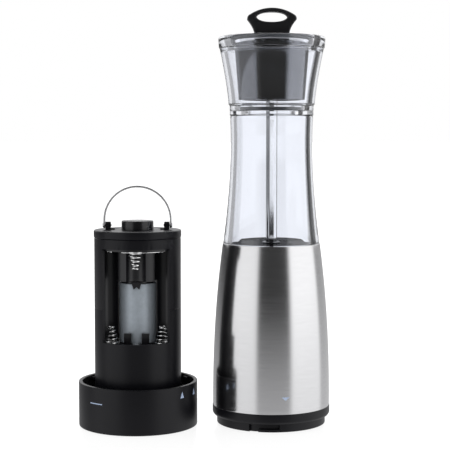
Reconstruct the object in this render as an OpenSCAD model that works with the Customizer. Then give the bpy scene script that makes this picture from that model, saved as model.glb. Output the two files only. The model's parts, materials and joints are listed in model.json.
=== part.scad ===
// Battery pepper mill, taken apart for loading: the mill body stands on its bayonet spigot, and
// the power module stands in the base cup beside it. Millimetres, +Z up, origin at the centre of
// the base cup's underside.

/* [Base cup] */
// Outer radius of the base cup and of the mill's flange
base_r = 33; // [31:0.5:42]
// Height of the base cup's rim above the ground
base_h = 25.2; // [20:0.1:34]
// Wall of the base cup
base_wall = 2.1; // [1.6:0.1:3]
// Floor of the base cup
base_floor = 2.4; // [2:0.1:4]
// Radius of the foot pad
foot_r = 26; // [18:0.5:28]
// Thickness of the foot pad
foot_t = 1.2; // [0.8:0.1:1.6]
// How far the foot pad stands out below the cup
foot_proud = 0.4; // [0.2:0.1:0.6]

/* [Bayonet] */
// Height of the spigot below the flange
spigot_h = 4.8; // [4.2:0.1:7]
// Wall of the spigot
spigot_wall = 2.6; // [2:0.1:3.4]
// Height of the flange above the spigot
flange_h = 5.3; // [4:0.1:8]
// Height of a locking lug
lug_h = 1.9; // [1.4:0.1:2.2]
// How far a locking lug stands in from the wall
lug_depth = 1.3; // [0.8:0.1:1.6]
// Number of locking lugs
lug_count = 3; // [2:1:4]
// Twist from entering to locked, in degrees
lock_twist = 22; // [16:1:30]

/* [Mill body] */
// Gap between the base cup and the mill body, from side to side
mill_gap = 8.5; // [4:0.5:44]
// Mill axis behind the base cup's axis
mill_y = 8.5; // [-20:0.5:40]
// Height of the steel shell
shell_h = 91; // [84:1:120]
// Outer radius of the steel shell at its top
shell_top_r = 27.2; // [27:0.1:32]
// Wall of the steel shell
shell_wall = 0.7; // [0.5:0.1:1]
// Wall of the inner sleeve
sleeve_wall = 1.5; // [1:0.1:1.6]
// Width of the alignment mark
mark_w = 4.2; // [2:0.1:6]

/* [Pepper jar] */
// Height of the pepper jar above the steel shell
jar_h = 70.9; // [55:0.1:100]
// Outer radius of the jar at its waist
jar_waist_r = 22.7; // [22:0.1:25]
// Wall of the jar at its waist
jar_waist_wall = 3.2; // [2:0.1:4]
// Wall of the jar at its foot
jar_foot_wall = 4.6; // [3.4:0.1:5.5]
// Height of the collar on top of the jar
collar_h = 2.7; // [2:0.1:4]
// Radius of the hole that the peppercorns fall through
throat_r = 13.4; // [9:0.1:14]

/* [Grinding head] */
// Height of the clear hopper
hopper_h = 34.3; // [32:0.1:50]
// Outer radius of the hopper at its mouth
hopper_top_r = 28.9; // [28:0.1:33]
// Wall of the hopper
hopper_wall = 3.6; // [2.4:0.1:4]
// Outer radius of the burr housing at its top
housing_top_r = 20.7; // [20:0.1:21]
// Outer radius of the burr housing at its foot
housing_foot_r = 18.4; // [18:0.1:19]
// Wall of the burr housing
housing_wall = 1.8; // [1.4:0.1:2]
// Radius of the drive rod
rod_r = 3.2; // [2.6:0.1:3.6]
// Hexagon on the rod's foot, across flats
rod_hex = 5; // [4:0.1:5.4]
// Height of the burr cone
cone_h = 12.6; // [9:0.1:13]

/* [Lid] */
// Outer radius of the lid at its widest
lid_r = 29.9; // [29:0.1:34]
// Height of the lid cap
lid_h = 6.5; // [6.3:0.1:9]
// Thickness of the lid's top plate
lid_top = 1.2; // [1:0.1:2]
// Height of the handle above the lid
handle_h = 15.8; // [14.5:0.1:22]
// Thickness of the handle from front to back
handle_t = 7; // [4:0.1:10]
// Half width of the handle where it meets the lid
handle_foot = 9.5; // [8:0.1:12]
// Half width of the handle at its widest
handle_half = 13.7; // [12.5:0.1:17]

/* [Power module] */
// Radius of a cell
cell_r = 5.25; // [5:0.05:5.5]
// Length of a cell
cell_len = 44.5; // [44:0.1:46]
// Wall of the module's shells
module_wall = 1.6; // [1.2:0.1:2]
// Radius of the motor can
motor_r = 10.4; // [9.6:0.1:11.4]
// Length of the motor can
motor_len = 33.4; // [24:0.1:35]
// Height of the gearbox end below the cell bays
gear_end_h = 43.4; // [42:0.1:50]
// Half angle of each window, in degrees
window_half = 49.7; // [44:0.1:52]
// Thickness of the cover plate
cover_t = 2.2; // [1.6:0.1:3]
// Radius of the push button
button_r = 8.85; // [6:0.05:10]
// Travel of the push button
button_travel = 1.5; // [1:0.1:1.5]
// Half span of the bail, to the middle of its strip
bail_half = 18.4; // [17:0.1:19]
// Width of the bail's strip
bail_w = 3.4; // [2:0.1:3.6]
// Thickness of the bail's strip
bail_t = 1; // [0.5:0.1:1.2]

/* [Gear train] */
// Tooth module of the gears
tooth_m = 0.6; // [0.5:0.01:0.62]
// Teeth on the sun gear
sun_teeth = 12; // [12:6:12]
// Teeth on each planet gear
planet_teeth = 18; // [18:6:18]
// Face width of the planets
gear_w = 10; // [6:0.5:11]

/* [Hidden] */
$fn = 96;

fit = 0.05;       // radial clearance of a shaft in its bush
gap = 0.3;        // clearance between faces of pieces that move apart
tiny = 0.01;      // overshoot of a cut

// Base cup and bayonet
base_in_r = base_r - base_wall;
spigot_r = base_in_r - 0.4;
slot_z = 1.5;                      // underside of the slots' level leg
slot_h = lug_h + 0.7;
slot_depth = lug_depth + 0.5;
lug_arc = 7;                       // arc of a lug, in degrees
lug_z = base_h - spigot_h + slot_z + 0.3;

// Power module, radii
bay_gap = 0.95;                    // wall of air between motor and cell
bay_r = cell_r + 0.45;
bay_circle = motor_r + bay_gap + cell_r;
module_in_r = bay_circle + cell_r + 0.55;
module_r = module_in_r + module_wall;

// Power module, heights
module_z = base_floor + foot_proud + gap;
plate_t = 3;
bay_z = module_z + gear_end_h;
bay_h = cell_len + 7.4;            // cell, spring and contacts
bay_top = bay_z + bay_h;
deck_t = 2;
deck_top = bay_top + deck_t;
window_z = bay_z + 1.8;
window_top = bay_top + 1.2;
seam_z = bay_z + 19.7;
cover_seam = deck_top + 4.6;
cover_top = cover_seam + 2 + cover_t;
cover_under = cover_top - cover_t;
button_top = cover_top + 5;
pivot_z = cover_top + 2.5;
bail_leg = 2.9;
lug_x = bail_half - bail_t / 2 - 0.25;
lug_w = 2.8;
pin_r = 0.8;

// Gear train, heights from the module's foot
gear_plate_t = 3.1;
gear_plate_z = bay_z - plate_t - gear_plate_t - 0.1;
gear_top = gear_plate_z - 1.4;
gear_z = gear_top - gear_w;
arm_t = 3;
arm_z = gear_z - 0.6 - arm_t;
gear_cover_t = 3;
gear_cover_z = arm_z - 0.6 - gear_cover_t;
boss_h = 6;
planet_circle = tooth_m * (sun_teeth + planet_teeth) / 2;
ring_teeth = sun_teeth + 2 * planet_teeth;
output_r = 3.2;
output_z = module_z + 1.2;

// Mill body, heights
mill_x = 2 * base_r + mill_gap;
shell_z = spigot_h + flange_h;
shell_top = shell_z + shell_h;
shell_foot_r = base_r - 0.2;
web_z = spigot_h + 1.2;
web_t = 2;
sleeve_r = module_r + 0.6;
sleeve_out_r = sleeve_r + sleeve_wall;
sleeve_screw_r = sleeve_out_r + 0.1;  // circle of the sleeve's screws
screw_boss_h = 9;
collar_wall = 1.6;
jar_foot_r = shell_top_r - 0.2;
jar_top = shell_top + jar_h;
jar_bore_r = jar_foot_r - jar_foot_wall;
skirt_r = shell_top_r - shell_wall - 0.35;
skirt_z = shell_top - 3.5;
floor_top = shell_top - 0.1;
floor_z = skirt_z - 0.6;
floor_flange_t = 2;
sleeve_top = floor_z - floor_flange_t;
waist_at = 0.8;                    // height of the waist as a share of the jar's own height
bush_wall = 1.8;
bush_r = rod_r + bush_wall;
hub_r = 11;
hub_h = 11;
hub_z = sleeve_top - hub_h;
dog_r = 7;
dog_h = hub_h - 0.8;
dog_z = hub_z + 0.3;
dog_hex = rod_hex + 0.3;
rod_foot = dog_z + 5;

// Grinding head, heights
collar_top = jar_top + collar_h;
collar_r = jar_waist_r + 0.6;
seal_r = 15.1;
seal_out_r = 17.9;
seal_h = 2.2;
hopper_z = collar_top + 0.2;
hopper_top = hopper_z + hopper_h;
rim_h = 2.9;
neck_in_r = seal_out_r + gap;
ledge_r = housing_top_r + 0.6;
ledge_t = 1.5;
flange_z = hopper_top + 0.1;
housing_flange_r = 23;
housing_flange_t = 2.2;
housing_z = hopper_z + 5.9;
housing_top = flange_z + housing_flange_t;
shelf_t = 3;
spider_t = 3;
spider_z = housing_z + 1.6;
shelf_z = spider_z + spider_t;
hub_out_r = bush_r + 1.5;
stator_r = 15.5;
stator_h = 10;
stator_in_foot = 12.6;
stator_in_top = 9;
stator_z = shelf_z + shelf_t + 6;
cone_z = stator_z - 2;
cone_foot_r = 11.4;
cone_top_r = 7.4;
rise = 0.8;                        // full travel of the burr ring
adjuster_r = 20.5;
adjuster_top = housing_top + 1.4;
nut_z = cone_z + cone_h + 0.2;
nut_h = 3;
rod_top = nut_z + nut_h + 0.6;

// Lid
lid_z = hopper_top + 0.2;
lid_plate_z = lid_z + lid_h - lid_top;
lid_bore_r = housing_flange_r + 0.5;
handle_z = lid_z + lid_h;
handle_arch = 3.8;                 // rise of the handle's arched top
eye_half = 8.9;
eye_h = 6.6;

plastic = [0.07, 0.07, 0.08];
clear = [0.85, 0.88, 0.95, 0.3];
steel = [0.72, 0.72, 0.72];
zinc = [0.55, 0.58, 0.62];
nylon = [0.9, 0.89, 0.85];
pale_blue = [0.6, 0.7, 0.9];

// ---- shapes that repeat ----

module ring(r_out, r_in, h) {
    difference() {
        cylinder(r = r_out, h = h);
        translate([0, 0, -1]) cylinder(r = r_in, h = h + 2);
    }
}

module lathe(outline) rotate_extrude() polygon(outline);

module around(n, r, start = 0) {
    for (i = [0 : n - 1]) rotate(start + 360 * i / n) translate([r, 0, 0]) children();
}

module at_mill() translate([mill_x, mill_y, 0]) children();

// A sector from the +X axis to an angle below 180 degrees
module sector(r, angle, h) {
    rotate_extrude(angle = angle) square([r, h]);
}

module hexagon(flats, h) cylinder(d = flats / cos(30), h = h, $fn = 6);

// A pan-head screw whose head sits on z = 0 and whose shank points along -Z
module screw(shank_r, length, head_r, head_h) {
    difference() {
        union() {
            translate([0, 0, -length]) cylinder(r = shank_r, h = length + tiny);
            cylinder(r = head_r, h = head_h);
        }
        for (a = [0, 90]) rotate(a) translate([-head_r * 0.7, -0.2, head_h * 0.5])
            cube([head_r * 1.4, 0.4, head_h]);
    }
}

// Wire wound round Z, from radius r0 at z = 0 to radius r1 at z = h
COIL_SIDES = 6;
COIL_STEPS = 12;
function coil_point(r0, r1, h, turns, t) = let (r = r0 + (r1 - r0) * t)
    [r * cos(360 * turns * t), r * sin(360 * turns * t), h * t];
function coil_ring(r0, r1, h, turns, wire, t) = [for (k = [0 : COIL_SIDES - 1])
    let (p = coil_point(r0, r1, h, turns, t), a = 360 * turns * t, b = 360 * k / COIL_SIDES)
    [p[0] + wire * cos(b) * cos(a), p[1] + wire * cos(b) * sin(a), p[2] + wire * sin(b)]];

module coil(r0, r1, h, turns, wire) {
    n = round(turns * COIL_STEPS);
    points = [for (i = [0 : n]) each coil_ring(r0, r1, h, turns, wire, i / n)];
    sides = [for (i = [0 : n - 1], k = [0 : COIL_SIDES - 1])
        let (a = i * COIL_SIDES, b = a + COIL_SIDES, m = (k + 1) % COIL_SIDES)
        each [[a + k, a + m, b + m], [a + k, b + m, b + k]]];
    first = [for (k = [COIL_SIDES - 1 : -1 : 0]) k];
    last = [for (k = [0 : COIL_SIDES - 1]) n * COIL_SIDES + k];
    polyhedron(points, concat([first], sides, [last]));
}

// Straight-flanked teeth: tip and root half widths are shares of a quarter tooth angle
TIP_SHARE = 0.8;
ROOT_SHARE = 2.1;
ADDENDUM = 0.7;
DEDENDUM = 1.0;
function tooth_outline(teeth, tip_r, root_r) = [for (i = [0 : teeth - 1])
    let (a = 360 * i / teeth, q = 90 / teeth)
    each [for (p = [[root_r, -ROOT_SHARE / 2], [tip_r, -TIP_SHARE / 2],
            [tip_r, TIP_SHARE / 2], [root_r, ROOT_SHARE / 2]])
        p[0] * [cos(a + p[1] * q), sin(a + p[1] * q)]]];

module spur(teeth, bore, h) {
    pitch = teeth * tooth_m / 2;
    difference() {
        linear_extrude(h)
            polygon(tooth_outline(teeth, pitch + ADDENDUM * tooth_m, pitch - DEDENDUM * tooth_m));
        translate([0, 0, -1]) cylinder(r = bore, h = h + 2);
    }
}

// ---- base ----

module base_cup() color(plastic) {
    ch = 0.5;
    difference() {
        lathe([[0, foot_proud], [base_r - ch, foot_proud], [base_r, foot_proud + ch],
            [base_r, base_h - ch], [base_r - ch, base_h], [base_in_r, base_h],
            [base_in_r, foot_proud + base_floor], [0, foot_proud + base_floor]]);
        translate([0, 0, -1]) cylinder(r = foot_r + 0.02, h = foot_t + 1);
    }
    for (i = [0 : lug_count - 1]) rotate(360 * i / lug_count - 90 - lug_arc / 2)
        translate([0, 0, lug_z]) rotate_extrude(angle = lug_arc)
            translate([base_in_r - lug_depth, 0]) square([lug_depth + 0.2, lug_h]);
}

module base_foot() color([0.12, 0.12, 0.12]) cylinder(r = foot_r, h = foot_t);

// A thin patch on the cup's wall, cut from a skin by a prism that points outwards
MARK_T = 0.06;
module wall_patch(r, azimuth, z) {
    intersection() {
        ring(r + MARK_T, r, 60);
        rotate(azimuth - 90) translate([r - 4, 0, z]) rotate([90, 0, 90])
            linear_extrude(8) children();
    }
}

module lock_marks() color(pale_blue) {
    tri = 1.75;
    mark_drop = 4.6;
    for (a = [50, 71]) wall_patch(base_r, a, base_h - mark_drop)
        polygon([[-tri * 0.8, -tri], [tri * 0.8, -tri], [0, tri]]);
    wall_patch(base_r, -40, base_h - mark_drop - 4) square([8.8, 0.5], center = true);
}

// ---- mill body ----

function shell_r(t) = shell_foot_r - (shell_foot_r - shell_top_r) * pow(t, 2.2);
SHELL_STEPS = 14;

module bayonet_ring() at_mill() color(plastic) {
    inner = spigot_r - spigot_wall;
    neck_r = shell_r(0) - shell_wall - 0.15;
    difference() {
        lathe([[inner, 0], [spigot_r - 0.4, 0], [spigot_r, 0.4], [spigot_r, spigot_h - 0.4],
            [base_r - 1.2, spigot_h], [base_r, spigot_h + 1.2], [base_r, shell_z], [neck_r, shell_z],
            [neck_r, shell_z + 5], [neck_r - collar_wall, shell_z + 5],
            [neck_r - collar_wall, web_z + web_t], [sleeve_r + 0.1, web_z + web_t],
            [sleeve_r + 0.1, web_z], [inner, web_z]]);
        for (i = [0 : lug_count - 1]) rotate(360 * i / lug_count - 90 - 25) {
            rotate_extrude(angle = lug_arc + 3) translate([spigot_r - slot_depth, -1])
                square([slot_depth + 1, slot_z + slot_h + 1]);
            rotate_extrude(angle = lock_twist + lug_arc + 3)
                translate([spigot_r - slot_depth, slot_z]) square([slot_depth + 1, slot_h]);
        }
        around(3, sleeve_screw_r, 30) translate([0, 0, web_z - 1])
            cylinder(r = 1.15, h = web_t + 2, $fn = 24);
    }
}

module steel_shell() at_mill() color(steel) {
    outer = [for (i = [0 : SHELL_STEPS]) let (t = i / SHELL_STEPS) [shell_r(t), shell_z + shell_h * t]];
    inner = [for (i = [SHELL_STEPS : -1 : 0]) [outer[i][0] - shell_wall, outer[i][1]]];
    lathe(concat(outer, inner));
}

module body_sleeve() at_mill() color(plastic) {
    foot = web_z + web_t;
    difference() {
        union() {
            translate([0, 0, foot]) ring(sleeve_out_r, sleeve_r, sleeve_top - foot);
            intersection() {
                around(3, sleeve_screw_r, 30) translate([0, 0, foot]) cylinder(r = 2.3, h = screw_boss_h);
                translate([0, 0, foot]) ring(base_r, sleeve_out_r - 0.4, screw_boss_h);
            }
        }
        around(3, sleeve_screw_r, 30) translate([0, 0, foot - 1]) cylinder(r = 1, h = 8, $fn = 24);
    }
}

module sleeve_screws() at_mill() color(steel) around(3, sleeve_screw_r, 30)
    translate([0, 0, web_z]) mirror([0, 0, 1]) screw(0.95, web_t + 6.5, 1.55, 0.9, $fn = 24);

module align_mark() at_mill() color(pale_blue) {
    mark_up = 8.7;
    r = shell_r(mark_up / shell_h);
    intersection() {
        ring(r + 0.12, r + 0.02, shell_z + mark_up + 3);
        rotate(-90 + 12) translate([r - 4, 0, shell_z + mark_up]) rotate([90, 0, 90])
            linear_extrude(8) polygon([[-mark_w / 2, 0.9], [mark_w / 2, 0.9], [0, -0.9]]);
    }
}

module chamber_floor() at_mill() color(plastic) {
    difference() {
        union() {
            translate([0, 0, floor_z]) cylinder(r = jar_bore_r - 0.1, h = floor_top - floor_z);
            translate([0, 0, sleeve_top]) cylinder(r = skirt_r, h = floor_flange_t);
            translate([0, 0, hub_z]) cylinder(r = hub_r, h = hub_h + tiny);
        }
        translate([0, 0, hub_z - 1]) cylinder(r = dog_r + fit, h = hub_h + 1);
        translate([0, 0, hub_z]) cylinder(r = bush_r, h = 50);
    }
}

module floor_bush() at_mill() color([0.75, 0.6, 0.35]) translate([0, 0, sleeve_top])
    ring(bush_r, rod_r + fit, floor_top - sleeve_top + 0.5);

module floor_seal() at_mill() color([0.2, 0.2, 0.2]) translate([0, 0, floor_z])
    ring(skirt_r - 0.2, jar_bore_r + 0.4, skirt_z - floor_z);

module dog_retainer() at_mill() color(nylon) translate([0, 0, hub_z - 2]) ring(hub_r, 5, 2);

module drive_dog() at_mill() color(nylon) difference() {
    translate([0, 0, dog_z]) cylinder(r = dog_r, h = dog_h - 0.3);
    translate([0, 0, rod_foot - 0.4]) hexagon(dog_hex, dog_h);
    translate([0, 0, dog_z - 1]) hexagon(dog_hex + 0.7, 4.6);
}

function waist_curve(t, power) = pow(abs(waist_at - t) / waist_at, power);
JAR_STEPS = 20;

module pepper_jar() at_mill() color(clear) {
    waist_in = jar_waist_r - jar_waist_wall;
    outer = [for (i = [0 : JAR_STEPS]) let (t = i / JAR_STEPS)
        [jar_waist_r + (jar_foot_r - jar_waist_r) * waist_curve(t, 1.8), shell_top + jar_h * t]];
    inner = [for (i = [JAR_STEPS : -1 : 1]) let (t = i / JAR_STEPS)
        [waist_in + (jar_bore_r - waist_in) * waist_curve(t, 1.6), shell_top + jar_h * t]];
    lathe(concat([[skirt_r, skirt_z], [skirt_r, shell_top]], outer, inner,
        [[jar_bore_r, shell_top + 1], [jar_bore_r, skirt_z]]));
}

module jar_collar() at_mill() color(clear) {
    e = 0.7;
    lathe([[throat_r, jar_top], [collar_r - e, jar_top], [collar_r, jar_top + e],
        [collar_r, collar_top - 0.2], [collar_r - 0.2, collar_top], [throat_r, collar_top]]);
}

module neck_seal() at_mill() color([0.5, 0.5, 0.52]) translate([0, 0, collar_top])
    ring(seal_out_r, seal_r, seal_h);

// ---- grinding head ----

HOPPER_STEPS = 10;

module hopper() at_mill() color(clear) {
    foot_r = jar_waist_r + 1.3;
    flare_z = hopper_z + rim_h + 0.7;
    outer = [for (i = [0 : HOPPER_STEPS]) let (t = i / HOPPER_STEPS)
        [foot_r + (hopper_top_r - foot_r) * pow(t, 1.35), flare_z + (hopper_top - flare_z) * t]];
    inner = [for (i = [HOPPER_STEPS - 1 : -1 : 0]) [outer[i][0] - hopper_wall, outer[i][1]]];
    under = outer[HOPPER_STEPS - 1][0] - hopper_wall;
    lathe(concat([[neck_in_r, hopper_z], [collar_r - 0.2, hopper_z], [collar_r, hopper_z + 0.2],
        [collar_r, hopper_z + rim_h - 0.7], [collar_r - 0.7, hopper_z + rim_h]], outer,
        [[ledge_r, hopper_top], [ledge_r, hopper_top - ledge_t], [under, hopper_top - ledge_t]], inner,
        [[neck_in_r, hopper_z + rim_h]]));
}

function housing_r(z) = housing_foot_r
    + (housing_top_r - housing_foot_r) * (z - housing_z) / (flange_z - housing_z);

module burr_housing() at_mill() color([0.2, 0.2, 0.22]) {
    e = 0.4;
    difference() {
        lathe([[housing_r(housing_z) - housing_wall, housing_z], [housing_foot_r - e, housing_z],
            [housing_r(housing_z + e), housing_z + e], [housing_top_r, flange_z],
            [housing_flange_r, flange_z], [housing_flange_r, housing_top - e],
            [housing_flange_r - e, housing_top], [housing_top_r - housing_wall, housing_top],
            [housing_r(shelf_z + shelf_t) - housing_wall, shelf_z + shelf_t],
            [stator_in_foot, shelf_z + shelf_t], [stator_in_foot, shelf_z],
            [housing_r(shelf_z) - housing_wall, shelf_z]]);
        around(3, 14.6) translate([0, 0, shelf_z - 1]) cylinder(r = 0.95, h = shelf_t + 2, $fn = 24);
    }
    intersection() {
        around(3, stator_r + 0.1, 60) translate([0, -1.5, shelf_z + shelf_t - tiny])
            cube([6, 3, stator_z + stator_h - shelf_z - shelf_t]);
        lathe([[0, housing_z], [housing_r(housing_z) - 0.5, housing_z], [housing_top_r - 0.5, flange_z],
            [0, flange_z]]);
    }
}

module shaft_spider() at_mill() color(plastic) difference() {
    union() {
        translate([0, 0, spider_z]) ring(housing_r(spider_z) - housing_wall - 0.1, 12.6, spider_t);
        translate([0, 0, spider_z]) cylinder(r = hub_out_r, h = spider_t + 0.8);
        for (a = [0, 120, 240]) rotate(a) translate([hub_out_r - 1, -1.5, spider_z])
            cube([12.9 - hub_out_r + 1, 3, spider_t]);
    }
    translate([0, 0, spider_z - 1]) cylinder(r = bush_r, h = 10);
    around(3, 14.6) translate([0, 0, spider_z - 1]) cylinder(r = 0.95, h = spider_t + 2, $fn = 24);
}

module spider_bush() at_mill() color([0.75, 0.6, 0.35]) translate([0, 0, spider_z])
    ring(bush_r, rod_r + fit, spider_t + 0.8);

module housing_screws() at_mill() color(steel) around(3, 14.6)
    translate([0, 0, spider_z]) mirror([0, 0, 1]) screw(0.9, spider_t + 2.6, 1.6, 0.9, $fn = 24);

module adjuster_ring() at_mill() color(plastic) difference() {
    skirt = stator_z + stator_h + rise / 2 + gap;
    lathe([[stator_r - 1.7, skirt], [stator_r + 0.6, skirt], [stator_r + 0.6, housing_top + gap],
        [adjuster_r, housing_top + gap], [adjuster_r, adjuster_top], [stator_r - 1.7, adjuster_top]]);
    around(24, adjuster_r + 0.2) translate([0, 0, housing_top]) cylinder(r = 0.6, h = 4, $fn = 16);
}

module burr_ring() at_mill() color([0.92, 0.92, 0.9]) difference() {
    lathe([[stator_in_foot, stator_z], [stator_r, stator_z], [stator_r, stator_z + stator_h],
        [stator_in_top, stator_z + stator_h]]);
    around(15, stator_in_foot - 2.6) translate([0, -0.5, stator_z - 1])
        cube([3.4, 1, stator_h * 0.75]);
}

module drive_rod() at_mill() color(steel) {
    hex_top = sleeve_top + 0.5;
    translate([0, 0, rod_foot]) hexagon(rod_hex, hex_top - rod_foot + tiny);
    translate([0, 0, hex_top]) cylinder(r = rod_r, h = rod_top - hex_top);
}

module burr_cone() at_mill() color([0.94, 0.94, 0.92]) difference() {
    translate([0, 0, cone_z]) cylinder(r1 = cone_foot_r, r2 = cone_top_r, h = cone_h);
    translate([0, 0, cone_z - 1]) cylinder(r = rod_r + 0.02, h = cone_h + 2);
    for (i = [0 : 9]) rotate(36 * i) translate([cone_foot_r - 0.3, -0.6, cone_z - 1])
        rotate([0, -16.5, 0]) cube([2, 1.2, cone_h * 0.8]);
}

module burr_spring() at_mill() color(steel) {
    foot = spider_z + spider_t + 0.8 + gap + 0.5;
    translate([0, 0, foot]) coil(rod_r + 1.1, rod_r + 1.1, cone_z - foot - 0.5, 4, 0.45);
}

module burr_nut() at_mill() color(steel) difference() {
    translate([0, 0, nut_z]) hexagon(2 * rod_r + 2, nut_h);
    translate([0, 0, nut_z - 1]) cylinder(r = rod_r + 0.02, h = nut_h + 2);
}

// ---- lid ----

module lid_cap() at_mill() color(clear) difference() {
    edge = 1.6;
    top = lid_z + lid_h;
    round_edge = [for (a = [0 : 15 : 90]) [lid_r - edge + edge * cos(a), top - edge + edge * sin(a)]];
    lathe(concat([[lid_bore_r, lid_z], [lid_r - 0.7, lid_z], [lid_r - 0.4, lid_z + 0.4]], round_edge,
        [[0, top], [0, lid_plate_z], [lid_bore_r, lid_plate_z]]));
    for (x = [-5, 5]) translate([x, 0, lid_plate_z - 1]) cylinder(r = 1.1, h = 5, $fn = 24);
}

// Outline of the handle: sides that flare as a square law, round tips and an arched top
tip_r = 2.4;
tip_mid_z = handle_h - handle_arch - tip_r * sin(60);
tip_z = tip_mid_z - 0.5;
arch_half = handle_half - tip_r * 0.5;
arch_r = (arch_half * arch_half + handle_arch * handle_arch) / (2 * handle_arch);
arch_end = asin(arch_half / arch_r);
function flare(t) = [handle_foot + (handle_half - 0.1 - handle_foot) * t * t, tip_z * t];
handle_side = concat([for (i = [0 : 8]) flare(i / 8)],
    [for (a = [0 : 20 : 60]) [handle_half - tip_r + tip_r * cos(a), tip_mid_z + tip_r * sin(a)]],
    [for (i = [0 : 10]) let (a = arch_end * (1 - i / 10))
        [arch_r * sin(a), handle_h - arch_r + arch_r * cos(a)]]);

module lid_handle() at_mill() color(plastic) {
    eye_r = (eye_half * eye_half + eye_h * eye_h / 4) / eye_h;
    eye_z = handle_h - 4.8;
    left = [for (i = [len(handle_side) - 2 : -1 : 0]) [-handle_side[i][0], handle_side[i][1]]];
    difference() {
        translate([0, handle_t / 2, handle_z]) rotate([90, 0, 0])
            linear_extrude(handle_t) polygon(concat(handle_side, left));
        intersection_for (s = [-1, 1])
            translate([0, handle_t, handle_z + eye_z + s * (eye_h / 2 - eye_r)])
                rotate([90, 0, 0]) cylinder(r = eye_r, h = 2 * handle_t);
        for (x = [-5, 5]) translate([x, 0, handle_z - 1]) cylinder(r = 1, h = 7, $fn = 24);
    }
}

module lid_screws() at_mill() color(steel) for (x = [-5, 5]) translate([x, 0, lid_plate_z])
    mirror([0, 0, 1]) screw(0.95, lid_top + 5.5, 1.9, 0.7, $fn = 24);

module lid_seal() at_mill() color([0.85, 0.85, 0.87]) translate([0, 0, lid_plate_z - 0.7])
    ring(lid_bore_r - 0.1, adjuster_r + 0.6, 0.7);

// ---- power module ----

module window_cuts() for (a = [-90, 90]) rotate(a - window_half)
    translate([0, 0, window_z]) sector(module_r + 5, 2 * window_half, window_top - window_z);

module module_lower_shell() color(plastic) difference() {
    ch = 0.6;
    lathe([[8, module_z], [module_r - ch, module_z], [module_r, module_z + ch], [module_r, seam_z - 0.2],
        [module_r - 0.3, seam_z - 0.2], [module_r - 0.3, seam_z], [module_in_r, seam_z],
        [module_in_r, module_z + 2.2], [8, module_z + 2.2]]);
    window_cuts();
}

module module_upper_shell() color(plastic) difference() {
    lathe([[module_in_r, seam_z], [module_r, seam_z], [module_r, cover_seam - 0.3],
        [module_r - 0.3, cover_seam], [module_in_r, cover_seam]]);
    window_cuts();
}

module module_cover() color(plastic) {
    bore = button_r + 0.12;
    difference() {
        union() {
            lathe([[module_in_r, cover_seam], [module_r - 0.3, cover_seam],
                [module_r + 0.25, cover_seam + 0.3], [module_r + 0.25, cover_top - 0.8],
                [module_r - 0.55, cover_top], [0, cover_top], [0, cover_under],
                [module_in_r, cover_under]]);
            for (s = [0, 180]) rotate(s) translate([lug_x - lug_w, 0, cover_top - tiny]) {
                translate([0, -1.9, 0]) cube([lug_w, 3.8, pivot_z - cover_top]);
                translate([0, 0, pivot_z - cover_top]) rotate([0, 90, 0]) cylinder(r = 1.9, h = lug_w);
            }
        }
        translate([0, 0, cover_under - 1]) cylinder(r = bore, h = cover_t + 3);
        translate([-30, 0, pivot_z]) rotate([0, 90, 0]) cylinder(r = pin_r + fit, h = 60, $fn = 32);
        around(3, 14.6, 30) translate([0, 0, cover_under - 1]) cylinder(r = 1.05, h = 10, $fn = 24);
        around(3, 14.6, 30) translate([0, 0, cover_top - 0.9]) cylinder(r = 1.9, h = 5, $fn = 24);
    }
}

module cover_screws() color([0.3, 0.3, 0.32]) around(3, 14.6, 30)
    translate([0, 0, cover_top - 0.9]) screw(0.95, cover_top - 0.9 - deck_top + 1.4, 1.75, 0.8, $fn = 24);

// The carrier: lower plate, fluted core above the motor, side columns, rear ribs and deck,
// round six bays
module cell_carrier() color(plastic) {
    plate_r = module_in_r - 0.1;
    core_z = bay_z + motor_len + 1.6;
    column_in = motor_r + 0.5;
    sink = 0.4;                    // how far the uprights reach into the plates
    rib_in = 14;                   // inner end of the two ribs behind the motor
    rib_w = 3;
    difference() {
        union() {
            translate([0, 0, bay_z - plate_t]) cylinder(r = plate_r, h = plate_t);
            for (x = [-4.9, 4.9]) translate([x - 2, -motor_r - 2.3, bay_z - sink]) cube([4, 2, 6.3 + sink]);
        }
        translate([0, 0, bay_z - plate_t - 1]) cylinder(r = 3.6, h = plate_t + 2);
        for (x = [-6, 6]) translate([x, 0, bay_z - plate_t - 1])
            cylinder(r = 1, h = plate_t + 2, $fn = 24);
    }
    difference() {
        union() {
            translate([0, 0, core_z]) cylinder(r = bay_circle - 1, h = bay_top + sink - core_z);
            for (a = [0, 180]) rotate(a) intersection() {
                translate([column_in, -6, bay_z - sink])
                    cube([plate_r - column_in, 12, bay_h + 2 * sink]);
                translate([0, 0, bay_z - 1]) cylinder(r = plate_r - 0.3, h = bay_h + 2);
            }
            for (a = [60, 120]) rotate(a) translate([rib_in, -rib_w / 2, bay_z - sink])
                cube([plate_r - 0.6 - rib_in, rib_w, bay_h + 2 * sink]);
        }
        around(6, bay_circle, 30) translate([0, 0, bay_z - 1]) cylinder(r = bay_r, h = bay_h + 2);
    }
    difference() {
        union() {
            translate([0, 0, bay_top]) cylinder(r = plate_r, h = deck_t);
            around(3, 14.6, 30) translate([0, 0, deck_top - sink])
                cylinder(r = 2.4, h = cover_under - deck_top + sink);
        }
        around(3, 14.6, 30) translate([0, 0, deck_top - 1.6]) cylinder(r = 1, h = 12, $fn = 24);
    }
}

SPRING_H = 8.4;
module contact_springs() color(steel) for (i = [0 : 5]) rotate(60 * i - 90) translate([bay_circle, 0, 0])
    if (i % 2 == 1) translate([0, 0, bay_z + 0.9]) coil(4.1, 1.7, SPRING_H, 4.5, 0.35);
    else translate([0, 0, bay_top - 0.9]) mirror([0, 0, 1]) coil(4.1, 1.7, SPRING_H, 4.5, 0.35);

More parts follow.
